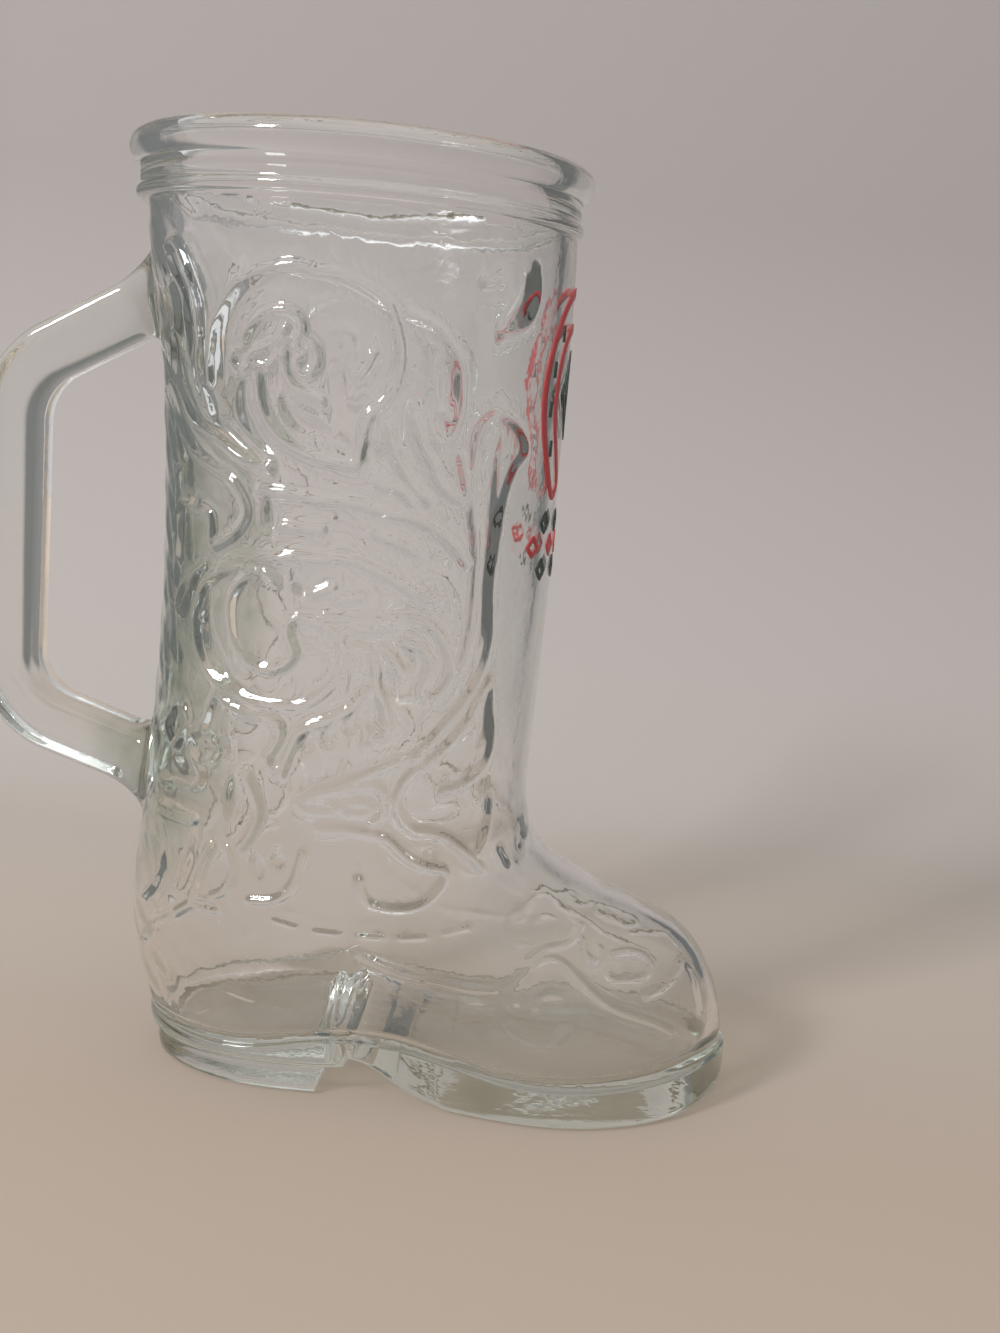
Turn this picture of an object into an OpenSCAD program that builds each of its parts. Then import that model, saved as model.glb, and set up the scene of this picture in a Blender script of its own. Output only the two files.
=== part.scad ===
// Boot-shaped beer glass with a side handle
// Frame: +X towards the toe, +Z up, the handle on -X.
// X = 0 and Y = 0 are the axis of the round mouth, and Z = 0 is the table.

/* [Rim and neck] */
// Height of the whole glass
glass_h = 156; // [130:1:200]
// Outer radius of the plain neck
neck_r = 35.9; // [33:0.1:40]
// Height of the plain neck
neck_h = 3.1; // [2:0.1:6]
// Height of the rolled lip
lip_h = 5.4; // [4:0.1:7]
// How far the lip stands out past the neck
lip_out = 1.9; // [0.5:0.1:2.5]
// How far the mould ring under the neck stands out
ring_out = 0.6; // [0.2:0.1:2]
// Height of the mould ring
ring_h = 2; // [1:0.1:4]

/* [Leg] */
// How far the back of the leg stands in from the neck, under the ring
leg_back_in = 1.5; // [0:0.1:3]
// How far the back of the leg stands in where it is slimmest
leg_slim_in = 6.2; // [3:0.1:9]
// How far the sides of the leg stand in, under the ring
leg_side_in = 0.7; // [0:0.1:3]
// How far the sides of the leg stand in at mid height
leg_mid_in = 4.1; // [2:0.1:8]
// Height of the ankle, where the foot mould begins
ankle_h = 47; // [40:1:60]
// How far the back of the ankle stands in from the neck
ankle_back_in = 4.3; // [2:0.1:7]
// How far the sides of the ankle stand in from the neck
ankle_side_in = 8; // [5:0.1:11]
// Glass wall of the leg
leg_wall = 2.8; // [1.8:0.1:4]

/* [Foot] */
// Furthest back point of the heel counter
counter_back = 33; // [31:0.1:36]
// Back of the foot at the welt
welt_back = 28.9; // [26:0.1:31]
// Front of the toe, from the mouth axis
toe_front = 73.8; // [62:0.1:84]
// Half width of the heel at the welt
heel_half = 20.2; // [17:0.1:24]
// Half width of the waist of the foot
waist_half = 17.8; // [15:0.1:22]
// Half width of the ball of the foot
ball_half = 23.6; // [20:0.1:27]
// Where the ball is, from the mouth axis
ball_x = 43; // [36:1:50]
// Where the arch is highest, from the mouth axis
arch_x = 9; // [6:1:14]
// Glass wall of the foot
foot_wall = 3; // [2:0.1:4]
// Glass floor over the sole
floor_t = 3; // [2:0.1:6]

/* [Sole and heel] */
// Height of the welt line at the heel
welt_h = 8.4; // [7:0.1:11]
// Height of the welt line over the arch
welt_arch_h = 11; // [9:0.1:14]
// Height of the welt line at the ball
welt_ball_h = 7.4; // [5:0.1:10]
// Height of the welt line at the toe
welt_toe_h = 9.2; // [7:0.1:12]
// How far the sole stands out past the foot
welt_out = 0.8; // [0.4:0.1:2]
// Height of the heel block
heel_block_h = 5.5; // [4:0.1:6.5]
// Front of the heel block on the table
heel_block_front = 3.4; // [0:0.1:5]
// Lean of the heel block's front face
breast_lean = 2; // [0.5:0.1:3]
// How far the heel block stands in from the sole
heel_block_in = 2.2; // [0.5:0.1:4]
// Height of the hollow under the arch
arch_gap_h = 7.2; // [6:0.1:8]
// Lift of the toe off the table
toe_lift = 1.6; // [0:0.1:3]

/* [Handle] */
// How far the grip's centre line stands out past the neck
grip_out = 20.6; // [14:0.1:30]
// Thickness of the handle bar
bar_t = 9.6; // [7:0.1:12]
// Width of the handle bar
bar_w = 12; // [9:0.1:16]
// Corner radius of the bar section
bar_round = 2.8; // [1:0.1:4]
// Drop from the mould ring to where the upper arm's line meets the leg
upper_drop = 15; // [12:0.5:25]
// Slope of the upper arm in degrees
upper_slope = 30; // [15:1:40]
// Rise from the ankle to where the lower arm's line meets the leg
lower_rise = 4.5; // [0:0.5:12]
// Slope of the lower arm in degrees
lower_slope = 18; // [5:1:25]
// Bend radius at the upper corner
upper_bend = 14; // [9:0.5:18]
// Bend radius at the lower corner
lower_bend = 13; // [9:0.5:16]
// Height of the upper pad on the leg
upper_pad_h = 20; // [14:0.5:24]
// Height of the lower pad on the leg
lower_pad_h = 18.5; // [14:0.5:24]
// Width of both pads on the leg
pad_w = 18; // [14:0.5:22]
// How far the pads reach out from the leg
pad_reach = 6; // [4:0.5:9]

/* [Print] */
// Half width of the printed field
print_half = 17; // [10:0.5:20]
// Drop from the mould ring to the middle of the printed field
print_drop = 31.5; // [28:0.5:40]
// Half height of the printed field
print_half_h = 24; // [12:0.5:26]
// Width of the red lines
red_line = 1.4; // [0.6:0.1:2.5]
// Width of the black lines
black_line = 0.8; // [0.4:0.1:1.5]
// Thickness of the enamel
enamel_t = 0.2; // [0.1:0.05:0.5]

/* [Scrolls] */
// Width of a raised scroll line at its root
scroll_w = 2.1; // [1.4:0.1:2.6]
// Height of a raised scroll line
scroll_h = 0.6; // [0.3:0.05:0.9]

/* [Hidden] */
$fn = 96;
// Air between a piece that follows the leg and the leg's flat facets
seat_gap = 0.12;
// Overrun of every cutting shape
over = 20;
// Steps along each side of a ring, and rings up the foot and the leg
side_n = 32;
foot_n = 24;
leg_n = 18;
curve_n = 6;

lip_r = neck_r + lip_out;
bore_r = lip_r - lip_h;
ring_r = neck_r + ring_out;
leg_top = glass_h - lip_h - neck_h - ring_h;
leg_front = neck_r;
leg_top_back = neck_r - leg_back_in;
leg_slim_back = neck_r - leg_slim_in;
leg_top_half = neck_r - leg_side_in;
leg_mid_half = neck_r - leg_mid_in;
ankle_back = neck_r - ankle_back_in;
ankle_half = neck_r - ankle_side_in;
grip_x = neck_r + grip_out;
upper_h = leg_top - upper_drop;
lower_h = ankle_h + lower_rise;
print_mid_h = leg_top - print_drop;
foot_tall = ankle_h - welt_h;

// How the leg and the foot blend into each other
blend_power_share = 8;
tongue_lean_share = 0.31;
instep_rise_share = 2.2;
arch_power_share = 2.3;
toe_power_share = 1.8;
toe_root_share = 0.55;
// Length over which the instep fades into the leg
instep_fade = 14;
// Where the foot's own shape starts, behind the mouth axis
foot_start = 12;

// Outline shares, chosen by hand: first the way out, then the way up
// Instep and toe: out from the leg's front to the toe, up from the welt to the ankle
vamp_shares = [[1, 0], [0.995, 0.04], [0.98, 0.14], [0.95, 0.26], [0.905, 0.36],
               [0.86, 0.44], [0.8, 0.51], [0.73, 0.565], [0.65, 0.605], [0.56, 0.64],
               [0.46, 0.68], [0.36, 0.71], [0.265, 0.755], [0.18, 0.8], [0.12, 0.835],
               [0.07, 0.875], [0.03, 0.93], [0, 1]];
// Front of the leg: nearly straight, with a slight hollow over the instep
shin_shares = [[0.975, 0.06], [0.985, 0.2], [1, 0.4], [1, 0.7], [1, 0.92], [0.99, 1]];
// Heel counter: from the welt out to its furthest point, then in to the ankle
counter_low_shares = [[0, 0], [0.23, 0.1], [0.52, 0.2], [0.79, 0.33], [0.94, 0.42], [1, 0.54]];
counter_high_shares = [[0.7, 0.7], [0.3, 0.88], [0, 1]];
// Back of the leg: in from the ankle to its slimmest, then out to the ring
calf_low_shares = [[0.55, 0.13], [0.18, 0.24], [0, 0.35], [0, 0.46]];
calf_high_shares = [[0.09, 0.59], [0.24, 0.71], [0.55, 0.82], [0.91, 0.94], [1, 1]];
// Underside of the sole: from the toe to the ball, over the arch, and down to the heel block
spring_shares = [[1, 1], [0.8, 0.33], [0.6, 0]];
arch_shares = [[0.6, 0], [0.45, 0.08], [0.3, 0.3], [0.16, 0.7], [0.07, 0.92], [0, 1]];
breast_shares = [[0.5, 0.8], [0, 0]];
// Places along the foot where the welt line is set, as shares of arch to ball and ball to toe
welt_ball_shares = [0.8, 0.4];
welt_heel_share = 0.33;

function span(a, b, share) = a + (b - a) * share;
function unit(v) = v / norm(v);

// Smooth curve through hand-placed points
function curve_point(p, i, u) =
    let(a = p[max(i - 1, 0)], b = p[i], c = p[i + 1], d = p[min(i + 2, len(p) - 1)])
    (2 * b + (c - a) * u + (2 * a - 5 * b + 4 * c - d) * u * u
     + (3 * b - a - 3 * c + d) * u * u * u) / 2;
function smooth(p, steps) =
    [for (i = [0 : len(p) - 2], s = [0 : steps - 1]) curve_point(p, i, s / steps), p[len(p) - 1]];
// The same curve moved sideways by d
function moved(c, d) =
    [for (i = [0 : len(c) - 1])
        let(t = unit(c[min(i + 1, len(c) - 1)] - c[max(i - 1, 0)]))
        c[i] + d * [-t[1], t[0]]];
function by_height(c) = [for (p = c) [p[1], p[0]]];

// Side view of the front and of the back, from the welt to the ring
front_curve = smooth(concat(
    [for (s = vamp_shares) [span(leg_front, toe_front, s[0]), span(welt_h, ankle_h, s[1])]],
    [for (s = shin_shares) [leg_front * s[0], span(ankle_h, leg_top, s[1])]]), curve_n);
back_curve = smooth(concat(
    [for (s = counter_low_shares)
        [-span(welt_back, counter_back, s[0]), span(welt_h, ankle_h, s[1])]],
    [for (s = counter_high_shares)
        [-span(ankle_back, counter_back, s[0]), span(welt_h, ankle_h, s[1])]],
    [for (s = calf_low_shares)
        [-span(leg_slim_back, ankle_back, s[0]), span(ankle_h, leg_top, s[1])]],
    [for (s = calf_high_shares)
        [-span(leg_slim_back, leg_top_back, s[0]), span(ankle_h, leg_top, s[1])]]), curve_n);
half_curve = smooth([[welt_h, heel_half], [ankle_h, ankle_half],
    [(ankle_h + leg_top) / 2, leg_mid_half], [leg_top, leg_top_half]], curve_n);

// Tables for one inset: front by height, back by height, instep height by reach
function tables(d) =
    let(f = moved(front_curve, d), b = moved(back_curve, -d))
    [by_height(f), by_height(b), [for (p = f) if (p[1] <= ankle_h) p],
     lookup(ankle_h, by_height(f))];
skin = tables(0);
leg_lining = tables(leg_wall);
foot_lining = tables(foot_wall);

// Half width of the foot's own outline at the welt
function foot_half(x) =
    x <= arch_x ? waist_half * ease((x + foot_start) / (arch_x + foot_start))
    : x <= ball_x ? span(waist_half, ball_half, ease((x - arch_x) / (ball_x - arch_x)))
    : ball_half * pow(max(0, 1 - pow(min(1, (x - ball_x) / (toe_front - ball_x)),
                                     toe_power_share)), toe_root_share);
function ease(u) = let(v = min(1, max(0, u))) v * v * (3 - 2 * v);

// Half width of the leg's oval at reach x and height z, d inside the skin
function oval(z, t) =
    let(b = lookup(z, t[1]),
        f = z < ankle_h ? t[3] - (ankle_h - z) * tongue_lean_share : lookup(z, t[0]))
    [(f + b) / 2, (f - b) / 2];
function leg_half(x, z, t, d) =
    let(o = oval(z, t), u = (x - o[0]) / o[1])
    (lookup(z, half_curve) - d) * sqrt(max(0, 1 - u * u));
function instep_half(x, z, t, d) =
    let(top = x > t[3] ? lookup(x, t[2]) : ankle_h + (t[3] - x) * instep_rise_share,
        u = min(1, max(0, (z - welt_h) / max(top - welt_h, seat_gap))),
        fade = 1 - ease((z - ankle_h) / instep_fade))
    max(0, foot_half(x + d) - d) * fade * sqrt(max(0, 1 - pow(u, arch_power_share)));
function half_at(x, z, t, d) =
    let(a = leg_half(x, z, t, d), b = instep_half(x, z, t, d), m = max(a, b))
    m <= 0 ? 0 : m * pow(pow(a / m, blend_power_share) + pow(b / m, blend_power_share),
                         1 / blend_power_share);

// Height of the welt line along the foot
welt_curve = smooth([[-counter_back, welt_h], [-counter_back * welt_heel_share, welt_h],
    [arch_x, welt_arch_h], [span(arch_x, ball_x, welt_ball_shares[0]), welt_ball_h],
    [span(ball_x, toe_front, welt_ball_shares[1]), welt_ball_h], [toe_front, welt_toe_h]], curve_n);
function welt_z(x) = lookup(x, welt_curve);

// One closed ring at height z, from the back round the near side
function ring_x(z, t, k) =
    let(b = lookup(z, t[1]), f = lookup(z, t[0]))
    (f + b) / 2 - (f - b) / 2 * cos(180 * k / side_n);
function ring(z, t, d) =
    let(sink = z < ankle_h ? pow((ankle_h - z) / foot_tall, 2) : 0)
    [for (k = [0 : 2 * side_n - 1])
        let(x = ring_x(z, t, k), y = k == 0 || k == side_n ? 0 : half_at(x, z, t, d))
        [x, k < side_n ? -y : y, z + (welt_z(x) - welt_h) * sink]];

// Faces of a skin of rings, and of strips that close a ring
loop_n = 2 * side_n;
function wall_faces(rows, start, out) =
    [for (j = [0 : rows - 2], k = [0 : loop_n - 1])
        let(a = start + j * loop_n + k, b = start + j * loop_n + (k + 1) % loop_n,
            c = b + loop_n, e = a + loop_n)
        each (out ? [[a, e, c], [a, c, b]] : [[a, c, e], [a, b, c]])];
function rim_faces(o, i, up) =
    [for (k = [0 : loop_n - 1])
        let(m = (k + 1) % loop_n)
        each (up ? [[o + k, i + k, i + m], [o + k, i + m, o + m]]
                 : [[o + k, i + m, i + k], [o + k, o + m, i + m]])];
function floor_faces(s, down) =
    [for (k = [0 : side_n - 1])
        let(a = s + k, b = s + k + 1, c = s + loop_n - k - 1, e = s + (loop_n - k) % loop_n)
        each concat(k == side_n - 1 ? [] : [down ? [a, b, c] : [a, c, b]],
                    k == 0 ? [] : [down ? [a, c, e] : [a, e, c]])];

module shell_leg() {
    rows = leg_n + 1;
    levels = [for (j = [0 : leg_n]) span(ankle_h, leg_top, j / leg_n)];
    points = [for (z = levels) each ring(z, skin, 0), for (z = levels) each ring(z, leg_lining, leg_wall)];
    polyhedron(points, concat(wall_faces(rows, 0, true), wall_faces(rows, rows * loop_n, false),
        rim_faces((rows - 1) * loop_n, (2 * rows - 1) * loop_n, true),
        rim_faces(0, rows * loop_n, false)), convexity = 8);
}

module shell_foot() {
    rows = foot_n + 1;
    outer = [for (j = [0 : foot_n]) span(welt_h, ankle_h, j / foot_n)];
    inner = [for (j = [0 : foot_n]) span(welt_h + floor_t, ankle_h, j / foot_n)];
    points = [for (z = outer) each ring(z, skin, 0), for (z = inner) each ring(z, foot_lining, foot_wall)];
    polyhedron(points, concat(wall_faces(rows, 0, true), wall_faces(rows, rows * loop_n, false),
        rim_faces((rows - 1) * loop_n, (2 * rows - 1) * loop_n, true),
        floor_faces(0, true), floor_faces(rows * loop_n, false)), convexity = 8);
}

// Outline of the sole seen from above, the foot's outline plus d
function plan_points(d) =
    let(b = welt_back + d, f = toe_front + d)
    [for (k = [0 : loop_n - 1])
        let(x = (f - b) / 2 - (f + b) / 2 * cos(180 * k / side_n),
            y = k == 0 || k == side_n ? 0 : half_at(min(toe_front, max(-welt_back,
                ring_x(welt_h, skin, k))), welt_h, skin, 0) + d)
        [x, k < side_n ? -y : y]];

module sole_side() {
    top = [for (k = [0 : side_n]) let(x = ring_x(welt_h, skin, k)) [x, welt_z(x)]];
    arch_back = heel_block_front + breast_lean;
    low = concat([[toe_front + over, toe_lift]],
        [for (s = spring_shares) [span(ball_x, toe_front, s[0]), toe_lift * s[1]]],
        [for (s = arch_shares) [span(arch_x, ball_x, s[0]), arch_gap_h * s[1]]],
        [for (s = breast_shares)
            [span(arch_back, arch_x, s[0]), span(heel_block_h, arch_gap_h, s[1])]],
        [[-welt_back - over, heel_block_h]]);
    polygon(concat([[-welt_back - over, welt_h]], top, [[toe_front + over, welt_toe_h]], low));
}

module sole() {
    color([0.78, 0.84, 0.8])
    intersection() {
        linear_extrude(height = glass_h / 2)
            polygon(plan_points(welt_out));
        translate([0, glass_h / 2, 0])
            rotate([90, 0, 0])
                linear_extrude(height = glass_h)
                    sole_side();
    }
}

module heel() {
    arch_back = heel_block_front + breast_lean;
    color([0.7, 0.78, 0.74])
    intersection() {
        linear_extrude(height = glass_h / 2)
            polygon(plan_points(welt_out - heel_block_in));
        translate([0, glass_h / 2, 0])
            rotate([90, 0, 0])
                linear_extrude(height = glass_h)
                    polygon([[-welt_back + heel_block_in, 0], [heel_block_front, 0],
                        [arch_back, heel_block_h], [-welt_back - over, heel_block_h],
                        [-welt_back - over, heel_block_h / 3], [-welt_back, heel_block_h / 3]]);
    }
}

module leg() {
    color([0.82, 0.88, 0.85]) shell_leg();
}

module foot() {
    color([0.74, 0.82, 0.79]) shell_foot();
}

// Rim pieces, turned about the mouth axis
module lip_bead() {
    bead_r = lip_h / 2;
    color([0.86, 0.92, 0.9])
    translate([0, 0, glass_h - lip_h])
        rotate_extrude()
            union() {
                translate([lip_r - bead_r, bead_r]) circle(r = bead_r);
                translate([bore_r, 0]) square([neck_r - bore_r, bead_r]);
            }
}

module neck_band() {
    color([0.8, 0.9, 0.92])
    translate([0, 0, leg_top + ring_h])
        rotate_extrude()
            translate([bore_r, 0]) square([neck_r - bore_r, neck_h]);
}

module mould_ring() {
    round_r = ring_h / 2;
    color([0.72, 0.84, 0.86])
    translate([0, 0, leg_top])
        rotate_extrude()
            union() {
                translate([bore_r, 0]) square([ring_r - round_r - bore_r, ring_h]);
                translate([ring_r - round_r, round_r]) circle(r = round_r);
            }
}

// Handle: a rounded bar between its two pads
upper_dir = [cos(upper_slope), 0, sin(upper_slope)];
lower_dir = [cos(lower_slope), 0, -sin(lower_slope)];
function back_x(y, z) =
    let(o = oval(z, skin), h = lookup(z, half_curve), u = y / h)
    o[0] - o[1] * sqrt(1 - u * u) - seat_gap;
upper_foot = [back_x(0, upper_h), 0, upper_h];
lower_foot = [back_x(0, lower_h), 0, lower_h];
upper_cut = upper_foot - pad_reach * upper_dir;
lower_cut = lower_foot - pad_reach * lower_dir;
// Corners where the straight lines would meet, and the bends' tangent lengths
upper_corner = upper_foot - upper_dir * (grip_x + upper_foot[0]) / upper_dir[0];
lower_corner = lower_foot - lower_dir * (grip_x + lower_foot[0]) / lower_dir[0];
upper_tan = upper_bend * tan((90 - upper_slope) / 2);
lower_tan = lower_bend * tan((90 - lower_slope) / 2);

// Centre line of the bar from the upper pad to the lower one: place and direction
bend_n = 9;
function bend(c, r, from, turn) =
    [for (i = [0 : bend_n])
        let(a = from + turn * i / bend_n)
        [c + r * [cos(a), 0, sin(a)], [-sin(a), 0, cos(a)]]];
bar_path = concat([[upper_cut, -upper_dir]],
    bend([upper_bend - grip_x, 0, upper_corner[2] - upper_tan], upper_bend,
         90 + upper_slope, 90 - upper_slope),
    bend([lower_bend - grip_x, 0, lower_corner[2] + lower_tan], lower_bend,
         180, 90 - lower_slope),
    [[lower_cut, lower_dir]]);
bar_n = 28;
// Rounded section of the bar: across the grip, then along Y
function bar_ring(i) =
    let(q = floor(i * 4 / bar_n), s = bar_n / 4, a = 90 * q + 90 * (i - q * s) / (s - 1),
        c = [[1, 1], [-1, 1], [-1, -1], [1, -1]][q])
    [c[0] * (bar_t / 2 - bar_round) + bar_round * cos(a),
     c[1] * (bar_w / 2 - bar_round) + bar_round * sin(a)];

module handle() {
    rows = len(bar_path);
    points = concat([for (p = bar_path, i = [0 : bar_n - 1])
        let(b = bar_ring(i), t = p[1])
        p[0] + [t[2], 0, -t[0]] * b[0] + [0, b[1], 0]], [upper_cut, lower_cut]);
    color([0.66, 0.8, 0.76])
    polyhedron(points, concat(
        [for (j = [0 : rows - 2], i = [0 : bar_n - 1])
            let(a = j * bar_n + i, b = j * bar_n + (i + 1) % bar_n, c = b + bar_n, e = a + bar_n)
            each [[a, b, c], [a, c, e]]],
        [for (i = [0 : bar_n - 1]) [rows * bar_n, (i + 1) % bar_n, i]],
        [for (i = [0 : bar_n - 1])
            [rows * bar_n + 1, (rows - 1) * bar_n + i, (rows - 1) * bar_n + (i + 1) % bar_n]]),
        convexity = 6);
}

// Pad: grows from the bar's section to a patch that lies on the leg
// How far the upper pad hangs below the arm's line
pad_drop = 1;
pad_rows = 7;
flare_share = 2.4;
cap_shares = [1, 0.66, 0.33];
function patch(i, share, h, tall) =
    let(b = bar_ring(i), r = unit([b[0] / bar_t, b[1] / bar_w]),
        z = h + share * r[0] * tall / 2, y = share * r[1] * pad_w / 2)
    [back_x(y, z), y, z];
module pad(foot_point, dir, h, tall) {
    up = [-dir[2], 0, dir[0]];
    start = foot_point - pad_reach * dir;
    rows = [for (j = [0 : pad_rows])
        let(t = j / pad_rows, e = pow(t, flare_share))
        [for (i = [0 : bar_n - 1])
            let(b = bar_ring(i), side = up * b[0] + [0, b[1], 0], end = patch(i, 1, h, tall) - foot_point)
            start + (foot_point - start) * t + side * (1 - e) + end * e]];
    caps = [for (c = cap_shares) if (c < 1) [for (i = [0 : bar_n - 1]) patch(i, c, h, tall)]];
    all_rows = concat(rows, caps);
    count = len(all_rows);
    points = concat([for (r = all_rows) each r], [start, patch(0, 0, h, tall)]);
    near = count * bar_n;
    polyhedron(points, concat(
        [for (j = [0 : count - 2], i = [0 : bar_n - 1])
            let(a = j * bar_n + i, b = j * bar_n + (i + 1) % bar_n, c = b + bar_n, e = a + bar_n)
            each [[a, c, b], [a, e, c]]],
        [for (i = [0 : bar_n - 1]) [near, i, (i + 1) % bar_n]],
        [for (i = [0 : bar_n - 1])
            [near + 1, (count - 1) * bar_n + (i + 1) % bar_n, (count - 1) * bar_n + i]]),
        convexity = 4);
}

module upper_pad() {
    color([0.58, 0.74, 0.7]) pad(upper_foot, upper_dir, upper_h - pad_drop, upper_pad_h);
}

module lower_pad() {
    color([0.58, 0.74, 0.7]) pad(lower_foot, lower_dir, lower_h, lower_pad_h);
}

// Main lines of the scrollwork on both sides of the leg: shares of the neck's radius, out from the
// mouth axis, and of the height between the ankle and the mould ring
leg_scroll_shares = [
    // Wave and hook at the back
    [[-0.7, 0.92], [-0.64, 0.88], [-0.57, 0.83], [-0.56, 0.76], [-0.49, 0.67]],
    [[-0.75, 0.7], [-0.64, 0.635], [-0.47, 0.59], [-0.335, 0.555], [-0.305, 0.52], [-0.39, 0.48]],
    // Great ring, its crescent and its bud
    [[-0.5, 0.72], [-0.49, 0.8], [-0.36, 0.87], [-0.14, 0.9], [0.14, 0.875], [0.29, 0.81],
     [0.29, 0.74], [0.19, 0.69], [0.15, 0.63]],
    [[-0.32, 0.74], [-0.335, 0.68], [-0.22, 0.63], [0, 0.61]],
    [[-0.11, 0.8], [-0.17, 0.75], [-0.07, 0.705], [0.03, 0.72]],
    // Swirl before it, and the line that flows down from it
    [[0.32, 0.84], [0.5, 0.8], [0.56, 0.72], [0.49, 0.655]],
    [[0.375, 0.69], [0.47, 0.61], [0.58, 0.57]],
    // Two straps across the leg
    [[-0.25, 0.565], [0.08, 0.56], [0.39, 0.545], [0.59, 0.48]],
    [[-0.39, 0.45], [-0.18, 0.465], [0.14, 0.47], [0.335, 0.445], [0.53, 0.41]],
    // Great open scroll and the ribbon beside it
    [[-0.22, 0.43], [-0.445, 0.41], [-0.54, 0.345], [-0.49, 0.275], [-0.335, 0.24], [-0.11, 0.23],
     [0.085, 0.265], [0.14, 0.315], [0.055, 0.365], [-0.085, 0.36]],
    [[0.2, 0.38], [0.39, 0.385], [0.56, 0.345], [0.585, 0.285], [0.49, 0.26]],
    // Pull strap, feather edge and tongue
    [[0.64, 0.52], [0.63, 0.63], [0.68, 0.7], [0.81, 0.68], [0.81, 0.62], [0.75, 0.52],
     [0.75, 0.365], [0.67, 0.255], [0.49, 0.17]],
    [[-0.1, 0.12], [-0.03, 0.18], [0.14, 0.215], [0.28, 0.26]],
    [[0.765, 0.24], [0.7, 0.18], [0.55, 0.13], [0.43, 0.09], [0.44, 0.05], [0.53, 0.03]],
    // Curl at the back, strap end and the crescent over the pull strap
    [[-0.39, 0.21], [-0.47, 0.17], [-0.54, 0.13], [-0.47, 0.085], [-0.67, 0.055]],
    [[0, 0.09], [0.195, 0.105], [0.32, 0.095], [0.34, 0.06], [0.25, 0.035], [0.03, 0.035]],
    [[0.82, 0.925], [0.82, 0.865], [0.695, 0.82]]];
// The same on the foot: shares of the toe's reach and of the ankle's height
foot_scroll_shares = [
    // Toe scroll, wing, bud and toe cap
    [[0.62, 0.68], [0.535, 0.63], [0.495, 0.53], [0.475, 0.39], [0.555, 0.32], [0.6, 0.37],
     [0.59, 0.45], [0.55, 0.44]],
    [[0.55, 0.56], [0.61, 0.545], [0.7, 0.46], [0.855, 0.35]],
    [[0.7, 0.575], [0.745, 0.61], [0.79, 0.565], [0.73, 0.53]],
    [[0.895, 0.52], [0.93, 0.425], [0.935, 0.3]],
    // Seams of the counter and the vamp
    [[0.13, 0.585], [0.11, 0.46], [0.095, 0.31]],
    [[0.17, 0.565], [0.26, 0.5], [0.35, 0.48], [0.45, 0.5]],
    // Spur button, strap and drop at the ankle
    [[0.13, 0.885], [0.155, 0.785], [0.215, 0.765], [0.29, 0.82], [0.31, 0.895]],
    [[-0.245, 0.965], [-0.27, 0.83], [-0.25, 0.7], [-0.35, 0.565]],
    [[0, 0.955], [-0.03, 0.82], [-0.11, 0.765]]];
scroll_n = 3;
// Air under a scroll line, its top's share of its width, and the step that finds the skin's slope
scroll_gap = 0.2;
scroll_top_share = 0.5;
probe = 0.4;

// Place and outward direction on the near side, at a reach and a height
function skin_y(x, z) =
    let(sink = z < ankle_h ? pow((ankle_h - z) / foot_tall, 2) : 0)
    half_at(x, z - (welt_z(x) - welt_h) * sink, skin, 0);
function skin_out(x, z) =
    unit([skin_y(x - probe, z) - skin_y(x + probe, z), -2 * probe,
          skin_y(x, z - probe) - skin_y(x, z + probe)]);
module scroll_line(path) {
    line = smooth(path, scroll_n);
    n = len(line);
    place = [for (p = line) [p[0], -skin_y(p[0], p[1]), p[1]]];
    points = [for (i = [0 : n - 1])
        let(out = skin_out(line[i][0], line[i][1]),
            side = unit(cross(out, place[min(i + 1, n - 1)] - place[max(i - 1, 0)])) * scroll_w / 2,
            low = place[i] + out * scroll_gap, high = low + out * scroll_h)
        each [low - side, low + side, high + side * scroll_top_share, high - side * scroll_top_share]];
    polyhedron(points, concat(
        [for (i = [0 : n - 2], k = [0 : 3])
            let(a = 4 * i + k, b = 4 * i + (k + 1) % 4, c = b + 4, e = a + 4)
            each [[a, c, e], [a, b, c]]],
        [[0, 2, 1], [0, 3, 2]],
        [[4 * n - 4, 4 * n - 3, 4 * n - 2], [4 * n - 4, 4 * n - 2, 4 * n - 1]]), convexity = 6);
}
module both_sides() {
    children();
    mirror([0, 1, 0]) children();
}

module leg_scrolls() {
    color([0.9, 0.95, 0.93])
        both_sides()
            for (line = leg_scroll_shares)
                scroll_line([for (p = line) [p[0] * neck_r, span(ankle_h, leg_top, p[1])]]);
}

module foot_scrolls() {
    color([0.86, 0.92, 0.9])
        both_sides()
            for (line = foot_scroll_shares)
                scroll_line([for (p = line) [p[0] * toe_front, p[1] * ankle_h]]);
}

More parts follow.
